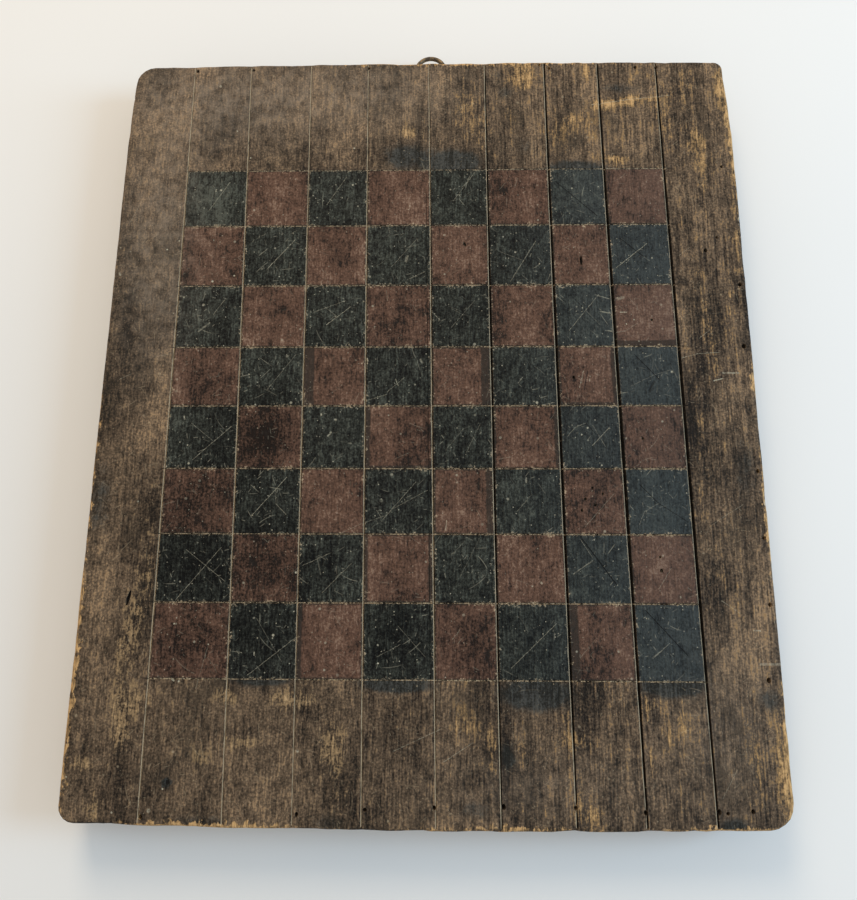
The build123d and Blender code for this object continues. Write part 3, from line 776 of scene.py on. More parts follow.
def lift_paint(plank, name, black, sizes):
    """Copies the plank's own face inside the squares of one colour, and gives it thickness."""
    def wanted(centre, normal):
        if normal.z < 0.5 or centre.z < FACE_Z - 0.002:
            return False
        found = square_at(centre.x, centre.y)
        if not found or not (0 < found[2] < 1 and 0 < found[3] < 1):
            return False
        return is_black(found[0], found[1]) == black

    pick(plank, "FACE", wanted)
    bpy.ops.mesh.duplicate()
    bpy.ops.mesh.separate(type="SELECTED")
    bpy.ops.object.mode_set(mode="OBJECT")
    paint = [o for o in bpy.context.selected_objects if o != plank][0]
    paint.name = name
    show_only(paint)
    coat = paint.modifiers.new("coat", "SOLIDIFY")
    coat.thickness = sizes.paint_thickness * 1.5
    coat.offset = 1 / 3
    coat.use_even_offset = False
    bpy.ops.object.modifier_apply(modifier=coat.name)
    mesh = paint.data
    uv = mesh.uv_layers.new(name="square")
    across = mesh.attributes.new("gaps_across", "FLOAT_VECTOR", "FACE")
    up = mesh.attributes.new("gaps_up", "FLOAT_VECTOR", "FACE")
    for face in mesh.polygons:
        found = square_at(face.center.x, face.center.y)
        col, row = (found[0], found[1]) if found else (0, 0)
        for loop in face.loop_indices:
            co = mesh.vertices[mesh.loops[loop].vertex_index].co
            y = co.y - MID_Y
            left, right = square_sides(col, y)
            top, foot = square_ends(row)
            uv.data[loop].uv = ((co.x - left) / (right - left), (y - foot) / (top - foot))
        gap = (0.0,) * 4 if black else SHORT_REDS.get((col, row), (0.3,) * 4)
        across.data[face.index].vector = (gap[0] / SQUARE_WIDE, gap[1] / SQUARE_WIDE, 0)
        up.data[face.index].vector = (gap[2] / SQUARE_HIGH, gap[3] / SQUARE_HIGH, 0)
    mark_faces(paint)
    return paint


class CHECKERBOARD_OT_plank(bpy.types.Operator):
    """Cut the wide plank with its scribed lines, awl holes and worn edges, and lay the paint on it"""

    bl_idname = "checkerboard.plank"
    bl_label = "Plank and Paint"

    def execute(self, context):
        sizes = context.scene.board_sizes
        low = Vector((-HALF_W, MID_Y - HALF_L + sizes.end_bow[1], BACK_Z))
        high = Vector((HALF_W, MID_Y + HALF_L - sizes.end_bow[0], FACE_Z))
        plank = add_block("plank", low, high)
        corners = ((low.x, high.y), (high.x, high.y), (low.x, low.y), (high.x, low.y))
        for (x, y), radius in zip(corners, sizes.corner_rounds):
            def at_corner(a, b):
                return all(abs(p.x - x) < 1e-5 and abs(p.y - y) < 1e-5 for p in (a, b))
            pick(plank, "EDGE", at_corner)
            bpy.ops.mesh.bevel(offset=radius, segments=5, affect="EDGES")
        pick(plank, "EDGE", lambda a, b: abs(a.z - b.z) < 1e-5)
        bpy.ops.mesh.bevel(offset=sizes.arris, segments=3, affect="EDGES", profile=0.5)
        for point, normal in plank_cuts(sizes):
            slice_through(point, normal)
        pick(plank, "FACE", on_margin)
        bpy.ops.mesh.subdivide(number_cuts=1)
        bpy.ops.object.mode_set(mode="OBJECT")
        spots = [v.co.copy() for v in plank.data.vertices]
        depths = [long_depth(co, sizes) for co in spots]
        crossings = [cross_depth(co, sizes) for co in spots]
        spot(plank, "cut", [d / MM for d in depths])
        spot(plank, "cross_cut", [d / MM for d in crossings])
        spot(plank, "lip_reach", [lip_reach(co) for co in spots])
        push(plank, "X", [lip_shift(co) for co in spots])
        push(plank, "Z", [-max(d, c) for d, c in zip(depths, crossings)])
        push(plank, "Z", [wear_shift(co, sizes) for co in spots])
        push(plank, "Y", [end_shift(co, sizes) for co in spots])
        push(plank, "X", [side_shift(co, sizes) for co in spots])
        black = lift_paint(plank, "black_paint", True, sizes)
        red = lift_paint(plank, "red_paint", False, sizes)
        pieces = (plank, black, red)
        awls = make_awls()
        gouges = make_gouges()
        chips = make_chips()
        cut_away(plank, awls)
        for piece in pieces:
            cut_away(piece, gouges)
        cut_away(plank, chips)
        for cutter in (awls, gouges, chips):
            drop(cutter)
        if min(len(piece.data.polygons) for piece in pieces) < 1000:
            raise RuntimeError("a cut has emptied the plank or its paint")
        for name, patches, wearing in (
            ("tone", TONE_PATCHES, pieces), ("dust", DUST_PATCHES, pieces),
            ("bare", BARE_PATCHES, (plank,)), ("smear", SMEAR_PATCHES, (plank,)),
            ("rim", RIM_PATCHES, (plank,)),
        ):
            for piece in wearing:
                flat = [(v.co.x / MM, (v.co.y - MID_Y) / MM) for v in piece.data.vertices]
                spot(piece, name, [patch_amount(patches, x, y) for x, y in flat])
        spot(plank, "inset", [edge_distance(v.co) for v in plank.data.vertices])
        mark_faces(plank)
        for piece in pieces:
            smooth(piece)
        colours = context.scene.board_colours
        settle(plank, ("board",), "checkerboard", plank_material(colours))
        settle(black, ("black_squares",), "checkerboard", paint_material(colours, True))
        settle(red, ("red_squares",), "checkerboard", paint_material(colours, False))
        return {"FINISHED"}


class Web:
    """Short ways to add and join nodes in one node tree."""

    def __init__(self, tree):
        self.tree = tree

    def put(self, socket, value):
        if isinstance(value, bpy.types.NodeSocket):
            self.tree.links.new(value, socket)
        elif value is not None:
            if getattr(socket, "type", "") == "RGBA" and len(value) == 3:
                value = (*value, 1.0)
            socket.default_value = value

    def node(self, kind, **settings):
        made = self.tree.nodes.new(kind)
        for key, value in settings.items():
            setattr(made, key, value)
        return made

    def math(self, what, a, b=None, c=None, clamp=False):
        made = self.node("ShaderNodeMath", operation=what, use_clamp=clamp)
        for k, value in enumerate((a, b, c)):
            self.put(made.inputs[k], value)
        return made.outputs[0]

    def times(self, a, b):
        return self.math("MULTIPLY", a, b)

    def plus(self, a, b):
        return self.math("ADD", a, b)

    def minus(self, a, b):
        return self.math("SUBTRACT", a, b)

    def times_plus(self, a, b, c):
        return self.math("MULTIPLY_ADD", a, b, c)

    def vector(self, what, a, b=None, out="Vector"):
        made = self.node("ShaderNodeVectorMath", operation=what)
        self.put(made.inputs[0], a)
        self.put(made.inputs[1], b)
        return made.outputs[out]

    def ramp(self, value, low, high, to_low=0.0, to_high=1.0):
        made = self.node("ShaderNodeMapRange", interpolation_type="SMOOTHSTEP")
        for k, number in enumerate((value, low, high, to_low, to_high)):
            self.put(made.inputs[k], number)
        return made.outputs[0]

    def line(self, value, low, high):
        made = self.node("ShaderNodeMapRange", interpolation_type="LINEAR")
        for k, number in enumerate((value, low, high, 0.0, 1.0)):
            self.put(made.inputs[k], number)
        return made.outputs[0]

    def split(self, vector):
        made = self.node("ShaderNodeSeparateXYZ")
        self.put(made.inputs[0], vector)
        return made.outputs

    def mix(self, part, a, b):
        made = self.node("ShaderNodeMix", data_type="RGBA")
        self.put(made.inputs[0], part)
        self.put(made.inputs[6], a)
        self.put(made.inputs[7], b)
        return made.outputs[2]

    def noise(self, place, scale, detail=3.0, rough=0.55):
        made = self.node("ShaderNodeTexNoise")
        self.put(made.inputs["Vector"], place)
        self.put(made.inputs["Scale"], scale)
        self.put(made.inputs["Detail"], detail)
        self.put(made.inputs["Roughness"], rough)
        return made.outputs[0]

    def stretch(self, place, scale=(1, 1, 1), turn=(0, 0, 0)):
        made = self.node("ShaderNodeMapping")
        self.put(made.inputs["Vector"], place)
        self.put(made.inputs["Rotation"], turn)
        self.put(made.inputs["Scale"], scale)
        return made.outputs[0]

    def attribute(self, name, out="Fac"):
        made = self.node("ShaderNodeAttribute", attribute_name=name)
        return made.outputs[out]

    def group(self, tree, **values):
        made = self.node("ShaderNodeGroup", node_tree=tree)
        for key, value in values.items():
            self.put(made.inputs[key.replace("_", " ")], value)
        return made.outputs


def new_group(name, inputs, outputs):
    """An empty node group with its sockets, and its two ends."""
    tree = bpy.data.node_groups.new(name, "ShaderNodeTree")
    kinds = {"value": "NodeSocketFloat", "vector": "NodeSocketVector", "colour": "NodeSocketColor"}
    for label, kind in inputs:
        tree.interface.new_socket(name=label, in_out="INPUT", socket_type=kinds[kind])
    for label, kind in outputs:
        tree.interface.new_socket(name=label, in_out="OUTPUT", socket_type=kinds[kind])
    web = Web(tree)
    start = web.node("NodeGroupInput")
    end = web.node("NodeGroupOutput")
    return web, start.outputs, end.inputs


def once(name, build):
    """The node group of this name, built the first time that it is asked for."""
    return bpy.data.node_groups.get(name) or build(name)


def build_grain(name):
    web, given, out = new_group(
        name,
        (("Position", "vector"),),
        (("Fibre", "value"), ("Streak", "value"), ("Broad", "value"), ("Short", "value"),
         ("Fine", "value"), ("Mottle", "value")),
    )
    place = given["Position"]
    drift = web.noise(web.stretch(place, (7.0, 1.4, 7.0)), 1.0, 2.0)
    shifted = web.node("ShaderNodeCombineXYZ")
    web.put(shifted.inputs[0], web.times_plus(drift, 0.016, -0.008))
    bent = web.vector("ADD", place, shifted.outputs[0])
    web.put(out["Fibre"], web.noise(web.stretch(bent, (900, 30, 900)), 1.0, 4.0, 0.65))
    web.put(out["Streak"], web.noise(web.stretch(bent, (230, 11, 230)), 1.0, 4.0, 0.6))
    web.put(out["Broad"], web.noise(web.stretch(bent, (38, 16, 38)), 1.0, 3.0, 0.55))
    web.put(out["Short"], web.noise(web.stretch(bent, (950, 190, 950)), 1.0, 4.0, 0.7))
    web.put(out["Fine"], web.noise(place, 850.0, 3.0, 0.7))
    web.put(out["Mottle"], web.noise(place, 130.0, 6.0, 0.66))
    return web.tree


def build_shades(name):
    web, given, out = new_group(
        name,
        (("Value", "value"), ("Deep", "colour"), ("Dark", "colour"), ("Middle", "colour"),
         ("Light", "colour"), ("Pale", "colour")),
        (("Colour", "colour"),),
    )
    colour = given["Deep"]
    steps = ((-0.05, 0.20, "Dark"), (0.20, 0.50, "Middle"), (0.50, 0.80, "Light"), (0.80, 1.10, "Pale"))
    for low, high, tint in steps:
        colour = web.mix(web.line(given["Value"], low, high), colour, given[tint])
    web.put(out["Colour"], colour)
    return web.tree


def build_mark(name):
    web, given, out = new_group(
        name,
        (("Position", "vector"), ("Start", "vector"), ("End", "vector")),
        (("Light", "value"), ("Dark", "value")),
    )
    level = (1.0, 1.0, 0.0)
    place = web.vector("MULTIPLY", given["Position"], level)
    start = web.vector("MULTIPLY", given["Start"], level)
    run = web.vector("SUBTRACT", web.vector("MULTIPLY", given["End"], level), start)
    from_start = web.vector("SUBTRACT", place, start)
    length = web.math("MAXIMUM", web.vector("DOT_PRODUCT", run, run, "Value"), 1e-10)
    part = web.math("DIVIDE", web.vector("DOT_PRODUCT", from_start, run, "Value"), length, clamp=True)
    nearest = web.node("ShaderNodeVectorMath", operation="SCALE")
    web.put(nearest.inputs[0], run)
    web.put(nearest.inputs["Scale"], part)
    gap = web.vector("LENGTH", web.vector("SUBTRACT", from_start, nearest.outputs[0]), None, "Value")
    width = web.split(given["Start"])[2]
    strength = web.split(given["End"])[2]
    inner = web.times(width, 0.30)
    outer = web.times(width, 0.70)
    there = web.minus(1.0, web.ramp(gap, inner, outer))
    light = web.times(there, strength)
    web.put(out["Light"], web.math("MAXIMUM", light, 0.0))
    web.put(out["Dark"], web.math("MAXIMUM", web.times(light, -1.0), 0.0))
    return web.tree


def build_scratches(name):
    """One straight scratch in each cell of a Voronoi pattern, at the cell's own angle."""
    web, given, out = new_group(
        name,
        (("Position", "vector"), ("Cells", "value"), ("Length", "value"), ("Width", "value")),
        (("Scratch", "value"),),
    )
    cells = web.node("ShaderNodeTexVoronoi", feature="F1", voronoi_dimensions="2D")
    web.put(cells.inputs["Vector"], given["Position"])
    web.put(cells.inputs["Scale"], given["Cells"])
    own = web.node("ShaderNodeSeparateColor")
    web.put(own.inputs[0], cells.outputs["Color"])
    away = web.split(web.vector("SUBTRACT", given["Position"], cells.outputs["Position"]))
    angle = web.times(own.outputs[0], 6.283)
    sine, cosine = web.math("SINE", angle), web.math("COSINE", angle)
    x, y = away[0], away[1]
    along = web.plus(web.times(x, cosine), web.times(y, sine))
    across = web.minus(web.times(y, cosine), web.times(x, sine))
    bow = web.times(web.times(along, along), web.minus(own.outputs[1], 0.5))
    across = web.math("ABSOLUTE", web.times_plus(bow, 60.0, across))
    half = web.times(given["Length"], own.outputs[1])
    inside = web.ramp(web.math("DIVIDE", web.math("ABSOLUTE", along), half), 1.0, 0.4)
    thin = web.ramp(web.math("DIVIDE", across, given["Width"]), 1.0, 0.3)
    chosen = web.ramp(own.outputs[2], 0.60, 1.0)
    web.put(out["Scratch"], web.times(web.times(inside, thin), chosen))
    return web.tree


def build_specks(name):
    web, given, out = new_group(name, (("Position", "vector"), ("Cells", "value"), ("Share", "value")),
                                (("Speck", "value"),))
    cells = web.node("ShaderNodeTexVoronoi", feature="F1", voronoi_dimensions="2D")
    web.put(cells.inputs["Vector"], given["Position"])
    web.put(cells.inputs["Scale"], given["Cells"])
    own = web.node("ShaderNodeSeparateColor")
    web.put(own.inputs[0], cells.outputs["Color"])
    chosen = web.math("LESS_THAN", own.outputs[0], given["Share"])
    size = web.times_plus(own.outputs[1], 0.22, 0.08)
    dot = web.ramp(cells.outputs["Distance"], size, web.times(size, 0.5))
    strength = web.times_plus(own.outputs[2], 0.7, 0.3)
    web.put(out["Speck"], web.times(web.times(dot, chosen), strength))
    return web.tree


def small_wear(web, place, colour, tint, scratch, speck):
    """Lays short fine scratches and small specks over a colour."""
    found = None
    for cells, length, wide in ((170.0, 0.0045, 0.00028), (95.0, 0.0085, 0.00030), (310.0, 0.0020, 0.00030)):
        one = web.group(once("Fine Scratches", build_scratches), Position=place, Cells=cells,
                        Length=length, Width=wide)["Scratch"]
        found = one if found is None else web.math("MAXIMUM", found, one)
    gathered = web.ramp(web.noise(place, 55.0, 3.0), 0.38, 0.62, 0.15, 1.0)
    colour = web.mix(web.times(web.times(found, gathered), scratch), colour, tint)
    for cells, share in ((650.0, 0.05), (300.0, 0.018)):
        dots = web.group(once("Small Specks", build_specks), Position=place, Cells=cells,
                         Share=share)["Speck"]
        colour = web.mix(web.times(dots, speck), colour, tint)
    return colour


def five_tints(web, value, tints):
    """A colour from the darkest to the palest of five tints as the value rises from 0 to 1."""
    names = ("Deep", "Dark", "Middle", "Light", "Pale")
    return web.group(once("Shades", build_shades), Value=value, **dict(zip(names, tints)))["Colour"]


def shade(colour, factor):
    return tuple(min(1.0, c * factor) for c in colour)


def blend(a, b, part):
    return tuple(p + (q - p) * part for p, q in zip(a, b))


def new_material(name):
    """An empty material, its web, its shader's inputs, and the place in the piece's own coordinates."""
    material = bpy.data.materials.new(name)
    material.use_nodes = True
    material.node_tree.nodes.clear()
    web = Web(material.node_tree)
    end = web.node("ShaderNodeOutputMaterial")
    shader = web.node("ShaderNodeBsdfPrincipled")
    web.put(end.inputs["Surface"], shader.outputs[0])
    place = web.node("ShaderNodeTexCoord").outputs["Object"]
    return material, web, shader.inputs, place


def relief(web, shader, height, distance):
    """Feeds a height to the shader's normal."""
    bump = web.node("ShaderNodeBump")
    bump.inputs["Distance"].default_value = distance
    bump.inputs["Strength"].default_value = 1.0
    web.put(bump.inputs["Height"], height)
    web.put(shader["Normal"], bump.outputs[0])


def all_marks(web, place, fine):
    """The light marks, and the dark marks that are painted shade in cuts, that the faces carry, their edges
    ragged.
    """
    ragged_edge = web.node("ShaderNodeCombineXYZ")
    web.put(ragged_edge.inputs[0], web.times_plus(fine, 0.0008, -0.0004))
    web.put(ragged_edge.inputs[1], web.times_plus(fine, -0.0006, 0.0003))
    shaken = web.vector("ADD", place, ragged_edge.outputs[0])
    light = dark = None
    for slot in range(MARK_SLOTS):
        found = web.group(once("Mark", build_mark), Position=shaken,
            Start=web.attribute(f"mark_start_{slot}", "Vector"),
            End=web.attribute(f"mark_end_{slot}", "Vector"),
        )
        light = found["Light"] if light is None else web.math("MAXIMUM", light, found["Light"])
        dark = found["Dark"] if dark is None else web.math("MAXIMUM", dark, found["Dark"])
    broken = web.ramp(web.noise(place, 800.0, 3.0, 0.7), 0.38, 0.60, 0.25, 1.0)
    return web.times(light, broken), dark


def weigh(web, start, *pairs):
    """Adds (value - 0.5) times its weight for each pair to the start."""
    total = start
    for value, weight in pairs:
        total = web.plus(web.times_plus(value, weight, -0.5 * weight), total)
    return total


def saw_and_knots(web, place, knots, start):
    """A value for plain sawn wood: saw marks across the grain, and knots with the rings round them."""
    parts = web.split(place)
    wander = web.times(web.noise(place, 18.0, 3.0), 5.0)
    tilt = web.times_plus(parts[0], SAW_TURNS[1], wander)
    ride = web.times_plus(parts[1], SAW_TURNS[0], tilt)
    marks = web.times(web.ramp(web.math("SINE", ride), 0.3, 1.0), -0.07)
    patchy = web.ramp(web.noise(place, 9.0, 3.0), 0.42, 0.6)
    value = web.times_plus(marks, patchy, start)
    shaken = web.times_plus(web.noise(place, 90.0, 3.0), 0.006, -0.003)
    for x, y, size in knots:
        side = web.math("POWER", web.minus(parts[0], x * MM), 2.0)
        along = web.times(web.minus(parts[1], y * MM), 0.62)
        along = web.math("POWER", along, 2.0)
        far = web.plus(web.math("SQRT", web.plus(side, along)), shaken)
        core = web.times(web.ramp(far, size * MM, size * 0.8 * MM), -0.55)
        near = web.ramp(far, size * 3.0 * MM, size * MM)
        circles = web.times(web.math("SINE", web.times(far, 4200.0)), near)
        value = web.plus(value, web.times_plus(circles, 0.22, core))
    return value


def plank_material(colours):
    material, web, shader, place = new_material("old_plank")
    grain = web.group(once("Long Grain", build_grain), Position=place)
    cut = web.attribute("cut")
    normal = web.split(web.node("ShaderNodeNewGeometry").outputs["True Normal"])
    face = web.ramp(normal[2], 0.1, 0.5)
    bare = web.times(web.attribute("bare"), face)
    dust = web.times(web.attribute("dust"), face)
    at = web.split(place)
    lined = web.ramp(at[0], -0.12, 0.08, 0.45, 1.0)
    value = weigh(web, 0.50, (grain["Mottle"], 1.1), (grain["Short"], 1.6), (grain["Fine"], 1.7),
                  (grain["Broad"], 1.5))
    value = web.plus(value, web.times(weigh(
        web, 0.0, (grain["Fibre"], 1.5), (grain["Streak"], 1.0)), lined))
    value = web.times_plus(bare, 0.12, value)
    value = web.plus(value, web.times(web.attribute("tone"), face))
    tints = [shade(colours.finish, step) for step in (0.08, 0.36, 0.90, 1.75, 3.2)]
    tints[4] = blend(tints[4], colours.bare_wood, 0.35)
    colour = five_tints(web, value, tints)
    dusty = web.times(dust, web.ramp(grain["Mottle"], 0.34, 0.66, 0.2, 0.9))
    colour = web.mix(web.times(dusty, 0.68), colour, colours.dust)
    flakes = weigh(web, web.times_plus(bare, 0.56, 0.24), (grain["Short"], 1.3),
                   (grain["Mottle"], 1.0), (grain["Fine"], 0.8))
    flakes = web.plus(flakes, web.times(weigh(
        web, 0.0, (grain["Fibre"], 1.0), (grain["Streak"], 1.0)), lined))
    sunny = web.ramp(at[0], -0.06, 0.06)
    tan = blend(colours.bare_wood, colours.lip, 0.28)
    amber_low = web.mix(sunny, shade(tan, 0.52), shade(colours.bare_wood, 0.62))
    amber_high = web.mix(sunny, shade(tan, 1.05), shade(colours.bare_wood, 1.4))
    amber = web.mix(web.ramp(flakes, 0.66, 0.92), amber_low, amber_high)
    colour = web.mix(web.ramp(flakes, 0.50, 0.62, 0.0, 0.9), colour, amber)
    smear = weigh(web, web.attribute("smear"), (grain["Mottle"], 0.6), (grain["Short"], 0.4))
    smeared = web.times(web.ramp(smear, 0.08, 0.42), face)
    smeared = web.times(smeared, web.ramp(web.attribute("smear"), 0.02, 0.18))
    # The lighter parts of the black smears take in half of the black paint's painted sheen.
    sheen = blend(colours.black, colours.black_sheen, 0.5)
    stain = web.mix(web.ramp(value, 0.2, 0.9), shade(colours.black, 0.6), shade(sheen, 1.4))
    colour = web.mix(web.times(smeared, 0.88), colour, stain)
    grime = web.ramp(web.noise(web.stretch(place, (30, 22, 30)), 1.0, 4.0, 0.6), 0.54, 0.70, 0.0, 0.45)
    colour = web.mix(grime, colour, web.mix(0.4, shade(colours.finish, 0.25), shade(colours.black, 1.0)))
    inset = web.attribute("inset")
    worn = weigh(web, web.attribute("rim"), (grain["Mottle"], 1.5), (grain["Short"], 1.0))
    bites = web.noise(web.stretch(place, (330, 200, 330)), 1.0, 3.0, 0.6)
    foot = web.ramp(at[1], -0.200, -0.210)
    eaten = web.times_plus(bites, 13.0, web.times_plus(foot, 1.3, -6.6))
    eaten = web.times_plus(web.attribute("rim"), 2.8, eaten)
    near = web.ramp(web.minus(inset, eaten), 0.4, -0.4)
    slant = web.ramp(normal[2], 0.97, 0.85)
    near = web.math("MAXIMUM", near, web.times(slant, web.math("LESS_THAN", cut, 0.005)))
    inner = web.math("LESS_THAN", inset, 8.0)
    near = web.times(near, inner)
    rubbed = web.times(web.ramp(worn, 0.22, 0.50), near)
    rubbed = web.times(rubbed, web.ramp(normal[2], -0.8, -0.3))
    end_grain = web.ramp(web.math("ABSOLUTE", normal[1]), 0.5, 0.8)
    beside = web.math("POWER", at[0], 2.0)
    above = web.math("POWER", web.plus(at[2], PITH_DEPTH), 2.0)
    from_pith = web.math("SQRT", web.plus(beside, above))
    wander = web.noise(web.stretch(place, (40, 40, 160)), 1.0, 3.0)
    turns = web.times_plus(from_pith, RING_TURNS, web.times(wander, 9.0))
    rings = web.ramp(web.math("SINE", turns), -0.6, 0.9, 0.62, 1.05)
    pores = web.ramp(web.noise(web.stretch(place, (1500, 200, 1500)), 1.0, 2.0), 0.40, 0.55, 0.55, 1.0)
    cells = web.times(rings, pores)
    streaks = web.times_plus(grain["Fibre"], 0.6, web.times(grain["Short"], 0.4))
    streaks = web.ramp(streaks, 0.36, 0.62, 0.35, 1.0)
    steep = web.ramp(normal[2], 0.5, 0.2)
    wall = web.times_plus(end_grain, web.minus(cells, streaks), streaks)
    rim_wood = web.mix(web.ramp(grain["Short"], 0.40, 0.58), shade(colours.bare_wood, 0.6),
                       shade(colours.bare_wood, 1.5))
    wall_wood = web.mix(wall, shade(colours.finish, 0.7), shade(colours.bare_wood, 1.15))
    rim_wood = web.mix(steep, rim_wood, wall_wood)
    # The rubbed edges are bare wood, and on the lower left side also painted bounce light.
    colour = web.mix(web.times(rubbed, 0.9), colour, rim_wood)
    # Painted highlight: the lip colour goes only on the flank of a long line that faces the window on the
    # right, over torn wood.
    lit_side = web.ramp(normal[0], 0.12, 0.35)
    broken = web.ramp(grain["Short"], 0.36, 0.52, 0.4, 1.0)
    reach = web.attribute("lip_reach")
    lip_end = web.ramp(web.minus(cut, reach), 0.12, -0.12)
    lip = web.times(web.times(lit_side, broken), lip_end)
    lip = web.times(lip, web.math("GREATER_THAN", cut, 0.003))
    deep = web.ramp(cut, 0.04, 0.40)
    colour = web.mix(web.times(deep, 0.96), colour, SHADOWED)
    colour = web.mix(web.times(lip, 0.85), colour, colours.lip)
    torn = web.ramp(weigh(web, web.attribute("cross_cut"), (grain["Fine"], 1.0), (grain["Mottle"], 0.8)),
                    0.10, 0.40)
    chipped = web.ramp(web.noise(place, 900.0, 3.0, 0.7), 0.42, 0.56)
    torn = web.times(torn, web.ramp(web.attribute("cross_cut"), 0.02, 0.12))
    in_grid = web.ramp(web.math("ABSOLUTE", at[0]), 0.1395, 0.1375)
    chipped = web.times(chipped, in_grid)
    # The cross lines go near-black between chips of the lip colour.
    colour = web.mix(torn, colour, web.mix(chipped, CROSS_LINE_DARK, colours.lip))
    hole = web.math("LESS_THAN", at[2], FACE_Z - 0.00055)
    hole = web.times(hole, web.math("GREATER_THAN", inset, 2.6))
    uncut = web.math("LESS_THAN", web.plus(cut, web.attribute("cross_cut")), 0.003)
    hole = web.times(hole, uncut)
    colour = web.mix(web.times(hole, face), colour, SHADOWED)
    colour = small_wear(web, place, colour, blend(colours.fleck, colours.bare_wood, 0.5), 0.22, 0.35)
    light, dark = all_marks(web, place, grain["Fine"])
    colour = web.mix(light, colour, colours.fleck)
    # Painted shade: the dark marks darken the cuts that the light does not reach.
    colour = web.mix(dark, colour, WOOD_CUT_SHADE)
    back = weigh(web, saw_and_knots(web, place, BACK_KNOTS, 0.5), (grain["Fibre"], 1.1),
                 (grain["Streak"], 1.3), (grain["Broad"], 1.2), (grain["Mottle"], 0.6))
    back = five_tints(web, back, [shade(colours.back_wood, step) for step in (0.12, 0.50, 1.0, 1.45, 2.0)])
    colour = web.mix(web.ramp(normal[2], -0.4, -0.8), colour, back)
    web.put(shader["Base Color"], colour)
    web.put(shader["Roughness"], web.times_plus(grain["Mottle"], 0.3, 0.5))
    shader["Specular IOR Level"].default_value = 0.15
    height = weigh(web, 0.5, (grain["Fibre"], 0.8), (grain["Short"], 0.9), (grain["Streak"], 0.5),
                   (grain["Fine"], 0.7))
    height = web.minus(height, web.times(web.math("MAXIMUM", light, dark), 0.6))
    relief(web, shader, height, 0.0005)
    return material


def paint_material(colours, black):
    material, web, shader, place = new_material("black_paint" if black else "red_paint")
    grain = web.group(once("Long Grain", build_grain), Position=place)
    across = web.split(place)[0]
    if black:
        value = weigh(web, 0.54, (grain["Short"], 2.2), (grain["Fine"], 2.2), (grain["Mottle"], 1.6),
                      (grain["Fibre"], 1.0), (grain["Broad"], 0.8))
    else:
        value = weigh(web, 0.52, (grain["Short"], 1.5), (grain["Fine"], 1.9), (grain["Mottle"], 1.5),
                      (grain["Fibre"], 0.5), (grain["Broad"], 1.5))
    value = web.plus(value, web.attribute("tone"))
    uv = web.split(web.node("ShaderNodeUVMap", uv_map="square").outputs[0])
    if black:
        main = colours.black
        steps = (0.03, 0.36, 0.95, 2.1, 4.2)
    else:
        main = colours.red
        steps = (0.10, 0.46, 0.95, 1.40, 2.0)
    tints = [shade(main, step) for step in steps]
    if not black:
        tints[4] = blend(tints[4], colours.fleck, 0.1)
    base = five_tints(web, value, tints)
    # Painted light toward the right, where the window's light falls: a bluish sheen on the black and a cooler
    # red.
    if black:
        cool = web.times(web.ramp(across, 0.02, 0.15), web.ramp(value, -0.3, 0.9, 0.35, 1.0))
        base = web.mix(web.times(cool, 0.75), base, colours.black_sheen)
    else:
        cool = web.times(web.ramp(across, 0.06, 0.15), 0.35)
        base = web.mix(cool, base, COOL_RED)
        pits = weigh(web, 0.5, (grain["Short"], 1.0), (grain["Mottle"], 1.0), (grain["Broad"], 0.5))
        base = web.mix(web.ramp(pits, 0.38, 0.24, 0.0, 0.85), base, RED_PIT)
    dust = web.attribute("dust")
    dusty = web.times(dust, web.ramp(grain["Mottle"], 0.36, 0.66, 0.1, 0.8))
    colour = web.mix(web.times(dusty, 0.45), base, colours.dust)
    if not black:
        wander = web.times_plus(web.noise(place, 220.0, 3.0), 0.05, -0.025)
        bare_strip = None
        gaps = web.split(web.attribute("gaps_across", "Vector"))
        ups = web.split(web.attribute("gaps_up", "Vector"))
        for inset, way, flip in (
            (gaps[0], uv[0], False), (gaps[1], uv[0], True),
            (ups[0], uv[1], False), (ups[1], uv[1], True),
        ):
            inward = web.minus(1.0, way) if flip else way
            over = web.minus(inset, web.plus(inward, wander))
            strip = web.ramp(over, -0.012, 0.016)
            bare_strip = strip if bare_strip is None else web.math("MAXIMUM", bare_strip, strip)
        colour = web.mix(web.times(bare_strip, 0.8), colour, SHORT_STRIP)
    nearest = [web.math("MINIMUM", way, web.minus(1.0, way)) for way in (uv[0], uv[1])]
    edge = web.math("MINIMUM", *nearest)
    edge_worn = weigh(web, web.ramp(edge, 0.08, 0.0, 0.0, 0.32), (grain["Fine"], 1.5), (grain["Mottle"], 1.2))
    colour = web.mix(web.ramp(edge_worn, 0.42, 0.60, 0.0, 0.5), colour, colours.lip)
    colour = small_wear(web, place, colour, colours.fleck, 0.24 if black else 0.14, 0.55 if black else 0.35)
    # Painted shade: the paint darkens with the depth of the second run of the middle line.
    cut = web.attribute("cut")
    colour = web.mix(web.ramp(cut, 0.08, 0.25), colour, SECOND_RUN_SHADE)
    light, dark = all_marks(web, place, grain["Fine"])
    colour = web.mix(light, colour, colours.fleck)
    # Painted shade: the dark marks darken the cuts that the light does not reach.
    colour = web.mix(dark, colour, PAINT_CUT_SHADE)
    web.put(shader["Base Color"], colour)
    web.put(shader["Roughness"], web.times_plus(grain["Mottle"], 0.3, 0.45))
    shader["Specular IOR Level"].default_value = 0.12
    height = weigh(web, 0.5, (grain["Short"], 0.9), (grain["Fibre"], 0.5), (grain["Mottle"], 0.4),
                   (grain["Fine"], 0.8))
    height = web.minus(height, web.times(web.math("MAXIMUM", light, dark), 0.6))
    relief(web, shader, height, 0.0005)
    return material


